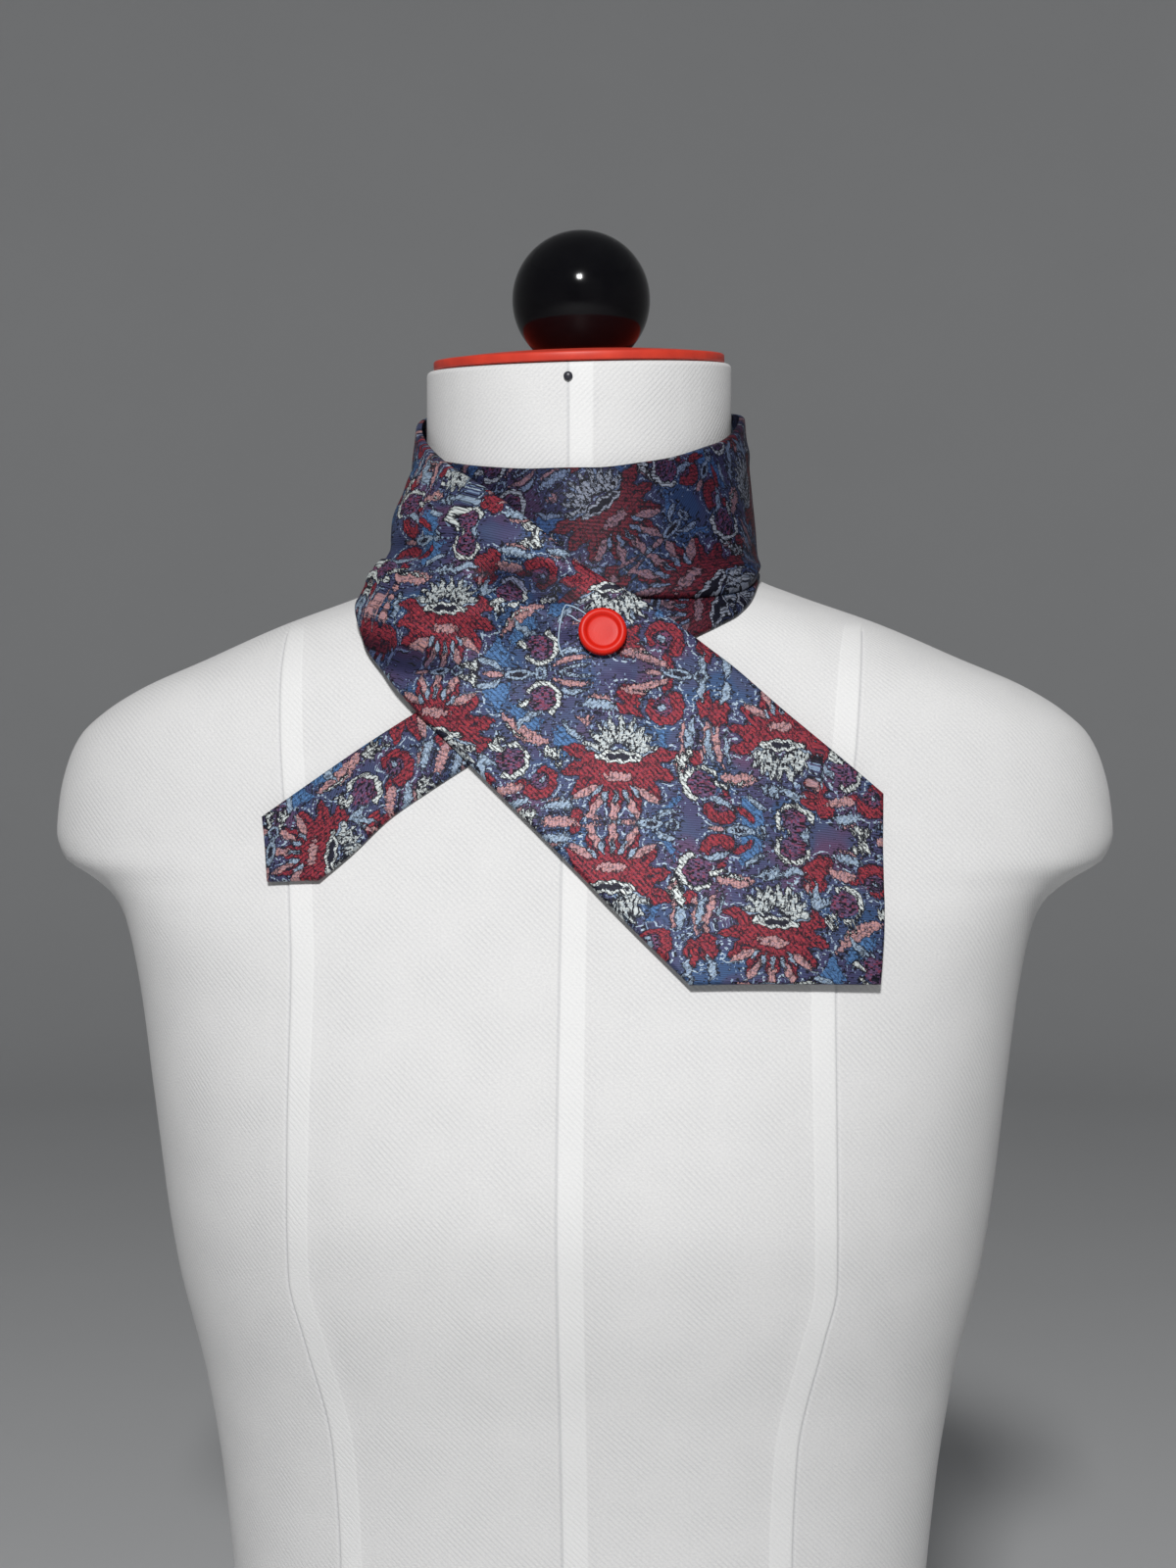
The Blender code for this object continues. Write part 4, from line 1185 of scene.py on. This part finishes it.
def turned(profile, facets, centre_y=0.0):
    """Rings of a turned piece, from its profile of radius and height, lowest first."""
    angles = np.linspace(0, 2 * math.pi, facets, endpoint=False)
    circle = np.column_stack([np.sin(angles), -np.cos(angles), np.zeros(facets)])
    return [circle * radius + (0, centre_y, height) for radius, height in profile]


def closed_rings(name, rings, place, finish):
    """A stack of rings as one closed mesh, moved by the place's matrix."""
    rings = np.array(rings)
    index = np.arange(rings.shape[0] * rings.shape[1]).reshape(rings.shape[:2])
    around = np.concatenate([index, index[:, :1]], axis=1)
    faces = grid_faces(around.T)
    vertices = np.concatenate([rings.reshape(-1, 3), [rings[0].mean(axis=0)], [rings[-1].mean(axis=0)]])
    low, high = index.size, index.size + 1
    faces += [[low, int(a), int(b)] for a, b in zip(around[0, 1:], around[0, :-1])]
    faces += [[high, int(a), int(b)] for a, b in zip(around[-1, :-1], around[-1, 1:])]
    moved = [place @ Vector(point) for point in vertices]
    return new_object(name, moved, faces, finish)


def on_neck_plate(above=0.0):
    """Stands what is made on the plane Z = 0 on the neck's tilted top."""
    turn = Matrix.Rotation(-NECK_ROLL, 4, "Y") @ Matrix.Rotation(NECK_TILT, 4, "X")
    return Matrix.Translation((0, 0, NECK_TOP_HEIGHT + SEAM_GAP)) @ turn @ Matrix.Translation((0, 0, above))


def facing_out(place, toward):
    turn = Vector(toward).to_track_quat("Z", "Y").to_matrix().to_4x4()
    return Matrix.Translation(place) @ turn


def cap_piece(finish):
    """The thin red disc, with a rounded rim and a low dome."""
    profile = [(0.975, 0.0), (0.990, 0.08), (0.997, 0.3), (1.0, 0.7), (1.0, 2.7), (0.997, 3.1), (0.989, 3.4)]
    profile.append((0.975, CAP_EDGE - 0.05))
    for share in np.linspace(0.955, 0.33, 9):
        fall = (share - 0.33) / (0.955 - 0.33)
        profile.append((share, CAP_EDGE + CAP_DOME * (1 - fall**2)))
    profile.append((0.15, CAP_EDGE + CAP_DOME))
    half = half_ring(NECK_TOP_HEIGHT)[:: DENSE // 80]
    ring = np.concatenate([half, half[1:-1][::-1] * (-1, 1, 1)])
    rings = []
    for scale, height in profile:
        rings.append(np.column_stack([ring[:, :2] * CAP_SCALE * scale, np.full(len(ring), height)]))
    return finished(closed_rings("neck_cap_disc", rings, on_neck_plate(), finish), "form_neck_cap")


def knob_piece(finish):
    """A lacquered ball with a small flat where it is screwed down."""
    lowest = -math.asin(KNOB_FLAT_AT / KNOB_RADIUS)
    profile = [(KNOB_RADIUS * math.cos(lowest) - 1.2, 0.0)]
    for angle in np.linspace(lowest + 0.02, math.radians(88.5), 60):
        profile.append((KNOB_RADIUS * math.cos(angle), KNOB_FLAT_AT + KNOB_RADIUS * math.sin(angle)))
    rings = turned(profile, 112, NECK_CENTRE_Y)
    place = on_neck_plate(CAP_EDGE + CAP_DOME + SEAM_GAP) @ Matrix.Translation((KNOB_CENTRE_X, 0, 0))
    return finished(closed_rings("knob_ball", rings, place, finish), "form_knob")


def pin_piece(finish):
    profile = [(1.45, 0.0), (1.6, 0.12), (1.62, 0.4), (1.5, 0.75), (1.2, 1.02), (0.75, 1.22), (0.3, 1.3)]
    place = seat_on_form([[0, -60, PIN_HEIGHT]], np.array([SEAM_GAP]))
    made = closed_rings("pin_head", turned(profile, 32), facing_out(place[0], form_slope(place)[0]), finish)
    return finished(made, "form_pin")


# Radius and height above the cloth: the back, the round edge, the rim, and the well inside it
BUTTON_PROFILE = (
    (6.6, 0.0),
    (7.4, 0.12),
    (7.95, 0.42),
    (8.22, 0.85),
    (8.3, 1.35),
    (8.3, 2.2),
    (8.2, 2.65),
    (7.95, 3.02),
    (7.6, 3.27),
    (7.15, 3.4),
    (6.7, 3.4),
    (6.3, 3.3),
    (5.95, 3.1),
    (5.7, 2.85),
    (5.5, 2.65),
    (5.25, 2.54),
    (4.8, 2.5),
    (3.0, 2.52),
    (1.0, 2.54),
)


def button_place():
    """The middle of the button's back and the way it faces, from its solid."""
    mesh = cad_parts["button"].data
    points = np.array([vertex.co for vertex in mesh.vertices]) / MM
    middle = points.mean(axis=0)
    toward = np.linalg.svd(points - middle)[2][2]
    toward = toward * -np.sign(toward[1])
    return middle + toward * ((points - middle) @ toward).min(), toward


def pressed_under_button(stretch, place, toward):
    """Presses the cloth flat where the button lies on it."""
    away = stretch.outer - place
    above = away @ toward
    aside = np.linalg.norm(away - above[..., None] * toward, axis=-1)
    hold = 1 - ease((aside - BUTTON_RADIUS) / 5)
    near = np.abs(above) < 12
    push = np.where(near, np.minimum(0, -0.2 - above) * hold, 0)[..., None] * toward
    stretch.outer = stretch.outer + push
    stretch.inner = stretch.inner + push


def on_cloth(stretch, across, height, lift):
    """A point this far above the cloth's outer side on the front."""
    outer = stretch.outer.reshape(-1, 3)
    far = np.hypot(outer[:, 0] - across, outer[:, 2] - height) + np.where(outer[:, 1] < -20, 0, 999)
    nearest = np.argsort(far)[:5]
    return outer[nearest].mean(axis=0) + stretch.out.reshape(-1, 3)[nearest].mean(axis=0) * lift


# Where the threads that hold the button enter and leave the cloth: across, height and lift
BUTTON_STITCHES = (
    ((0.5, 511.6, -0.2), (2.6, 510.6, 0.5), (5.0, 509.3, 0.55), (7.4, 507.9, 0.4)),
    ((0.9, 508.0, -0.2), (2.4, 507.3, 0.45), (4.6, 505.8, 0.45), (6.6, 504.9, 0.3)),
    ((0.5, 511.6, -0.2), (-0.3, 509.2, 0.5), (-0.8, 507.2, 0.4), (-1.6, 502.6, 0.45), (-1.9, 498.6, 0.4),
     (-1.3, 495.8, 0.45), (-0.2, 493.6, -0.2)),
)
THREAD_RADIUS = 0.26


def stitches_piece(stretch, finish):
    """The button's thread: slim bowed tubes on the cloth that dip in at their ends."""
    body_points, faces = [], []
    for stitch in BUTTON_STITCHES:
        knots = np.array([on_cloth(stretch, *knot) for knot in stitch])
        spans = np.linalg.norm(np.diff(knots, axis=0), axis=1)
        places = np.concatenate([[0], np.cumsum(spans)])
        line = smooth_columns(np.column_stack([places, knots]), np.linspace(0, places[-1], 8 * len(stitch)))[:, 1:]
        ahead = np.gradient(line, axis=0)
        ahead /= np.linalg.norm(ahead, axis=1, keepdims=True)
        side = np.cross(ahead, (0, -1.0, 0.15))
        side /= np.linalg.norm(side, axis=1, keepdims=True)
        other = np.cross(ahead, side)
        start = len(body_points)
        sides = 8
        for point, u, v in zip(line, side, other):
            for angle in np.linspace(0, 2 * math.pi, sides, endpoint=False):
                body_points.append(point + THREAD_RADIUS * (math.cos(angle) * u + math.sin(angle) * v))
        index = np.arange(len(line) * sides).reshape(-1, sides) + start
        faces += grid_faces(np.concatenate([index, index[:, :1]], axis=1))
        faces += [[int(n) for n in index[0][::-1]], [int(n) for n in index[-1]]]
    return finished(new_object("button_stitches", body_points, faces, finish), None)


STAGE_RADIUS = 4000.0
STAGE_BEND = 1400.0
STAGE_TOP = 3600.0


def stage_and_lights():
    """A plain pale floor that sweeps up all round, a key light from above, and a broad dim fill."""
    floor_finish = Nodes("stage_floor")
    place = floor_finish.add("ShaderNodeTexCoord").outputs["Object"]
    shade = floor_finish.noise(place, 3.0)
    floor_finish.shade(Base_Color=floor_finish.blend(shade, (0.60, 0.605, 0.61), (0.63, 0.635, 0.64)), Roughness=0.95)
    profile = [(0.2, 0.0), (STAGE_RADIUS - STAGE_BEND, 0.0)]
    for angle in np.radians(np.arange(6, 91, 6)):
        reach = STAGE_RADIUS - STAGE_BEND * (1 - math.sin(angle))
        profile.append((reach, STAGE_BEND * (1 - math.cos(angle))))
    profile.append((STAGE_RADIUS, STAGE_TOP))
    rings = np.array(turned(profile, 96))
    index = np.arange(rings.shape[0] * rings.shape[1]).reshape(rings.shape[:2])
    around = np.concatenate([index, index[:, :1]], axis=1)
    floor = new_object("stage_floor", rings.reshape(-1, 3), grid_faces(around), floor_finish.material)
    world = bpy.data.worlds.new("studio")
    bpy.context.scene.world = world
    world.use_nodes = True
    background = world.node_tree.nodes["Background"]
    background.inputs["Color"].default_value = (0.95, 0.97, 1.0, 1)
    background.inputs["Strength"].default_value = WORLD_STRENGTH
    for name, place, aim, power, width in LIGHTS:
        data = bpy.data.lights.new(name, "AREA")
        data.energy = power
        data.size = width
        lamp = bpy.data.objects.new(name, data)
        lamp.location = place
        lamp.rotation_euler = (Vector(aim) - Vector(place)).to_track_quat("-Z", "Y").to_euler()
        bpy.context.collection.objects.link(lamp)


WORLD_STRENGTH = 0.125
# Name, place, what it is aimed at, power and width
LIGHTS = (
    ("key", (0.02, -1.98, 1.66), (0, -0.05, 0.42), 47, 0.24),
    ("fill", (0.9, -2.6, 0.9), (0, 0, 0.4), 1, 1.8),
)

CAMERA_TURN = math.radians(3.5)
CAMERA_DISTANCE = 0.885
CAMERA_HEIGHT = 0.450
CAMERA_RIGHT = 0.0033
CAMERA_LENS = 54.135


def camera():
    """A level camera at the photo's place, a little to the form's right."""
    data = bpy.data.cameras.new("camera")
    data.sensor_width = 36
    data.lens = CAMERA_LENS
    made = bpy.data.objects.new("camera", data)
    ahead = Vector((-math.sin(CAMERA_TURN), math.cos(CAMERA_TURN), 0))
    right = Vector((math.cos(CAMERA_TURN), math.sin(CAMERA_TURN), 0))
    made.location = Vector((0, 0, CAMERA_HEIGHT)) - ahead * CAMERA_DISTANCE + right * CAMERA_RIGHT
    made.rotation_euler = (math.radians(90), 0, CAMERA_TURN)
    bpy.context.collection.objects.link(made)
    bpy.context.scene.camera = made
    bpy.context.scene.view_settings.view_transform = "Standard"


def cloth_pieces():
    """The four stretches of the tie, from its narrow end to its wide end, and the button on them."""
    silk = silk_material()
    narrow = Stretch(NARROW_BLADE_ROWS, NARROW_TIP, (), NARROW_BLADE_CREASES, taut=False)
    lower = Stretch(LOWER_BAND_ROWS, None, (), LOWER_BAND_CREASES, taut=False, starts_at=narrow.ends_at)
    upper = Stretch(UPPER_BAND_ROWS, None, (), UPPER_BAND_CREASES, starts_at=lower.ends_at)
    wide = Stretch(
        WIDE_BLADE_ROWS, WIDE_TIP, WIDE_BLADE_FOLDS, WIDE_BLADE_CREASES, starts_at=upper.ends_at
    )
    # Painted shade: the neck bands' colour is darkened where they turn away from the light; the upper band brightens
    # again towards its join with the wide blade
    part = (upper.along / upper.along[-1] - BAND_BRIGHTENS_AT) / (1 - BAND_BRIGHTENS_AT)
    upper.shade *= (BAND_SHADE + (1 - BAND_SHADE) * ease(part))[:, None]
    lower.shade *= BAND_SHADE
    place, toward = button_place()
    pressed_under_button(wide, place, toward)
    for name, stretch in (("narrow_blade", narrow), ("lower_band", lower), ("upper_band", upper), ("wide_blade", wide)):
        piece = cloth_piece(name + "_silk", stretch, silk)
        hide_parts(name)
        flat = (float(stretch.flat_width) * MM, float(stretch.along[-1]) * MM)
        area = min(stretch.flat_area() * MM * MM, flat[0] * flat[1])
    red = plastic_material("button_plastic", (0.70, 0.016, 0.006), (0.62, 0.012, 0.005), 0.34, gloss=0.2)
    rings = turned(BUTTON_PROFILE, 96)
    button = closed_rings("button_red", rings, facing_out(place, toward), red)
    finished(button, "button")
    stitches_piece(wide, thread_material())


cloth_pieces()
torso_piece(cover_material())
cap_piece(plastic_material("cap_lacquer", (0.72, 0.052, 0.024), (0.60, 0.040, 0.02), 0.42))
knob_piece(plastic_material("knob_lacquer", (0.004, 0.004, 0.005), (0.003, 0.003, 0.004), 0.06, 0.06, 0.000004, 0.14))
pin_piece(plastic_material("pin_metal", (0.03, 0.03, 0.04), (0.02, 0.02, 0.03), 0.3))
camera()
stage_and_lights()
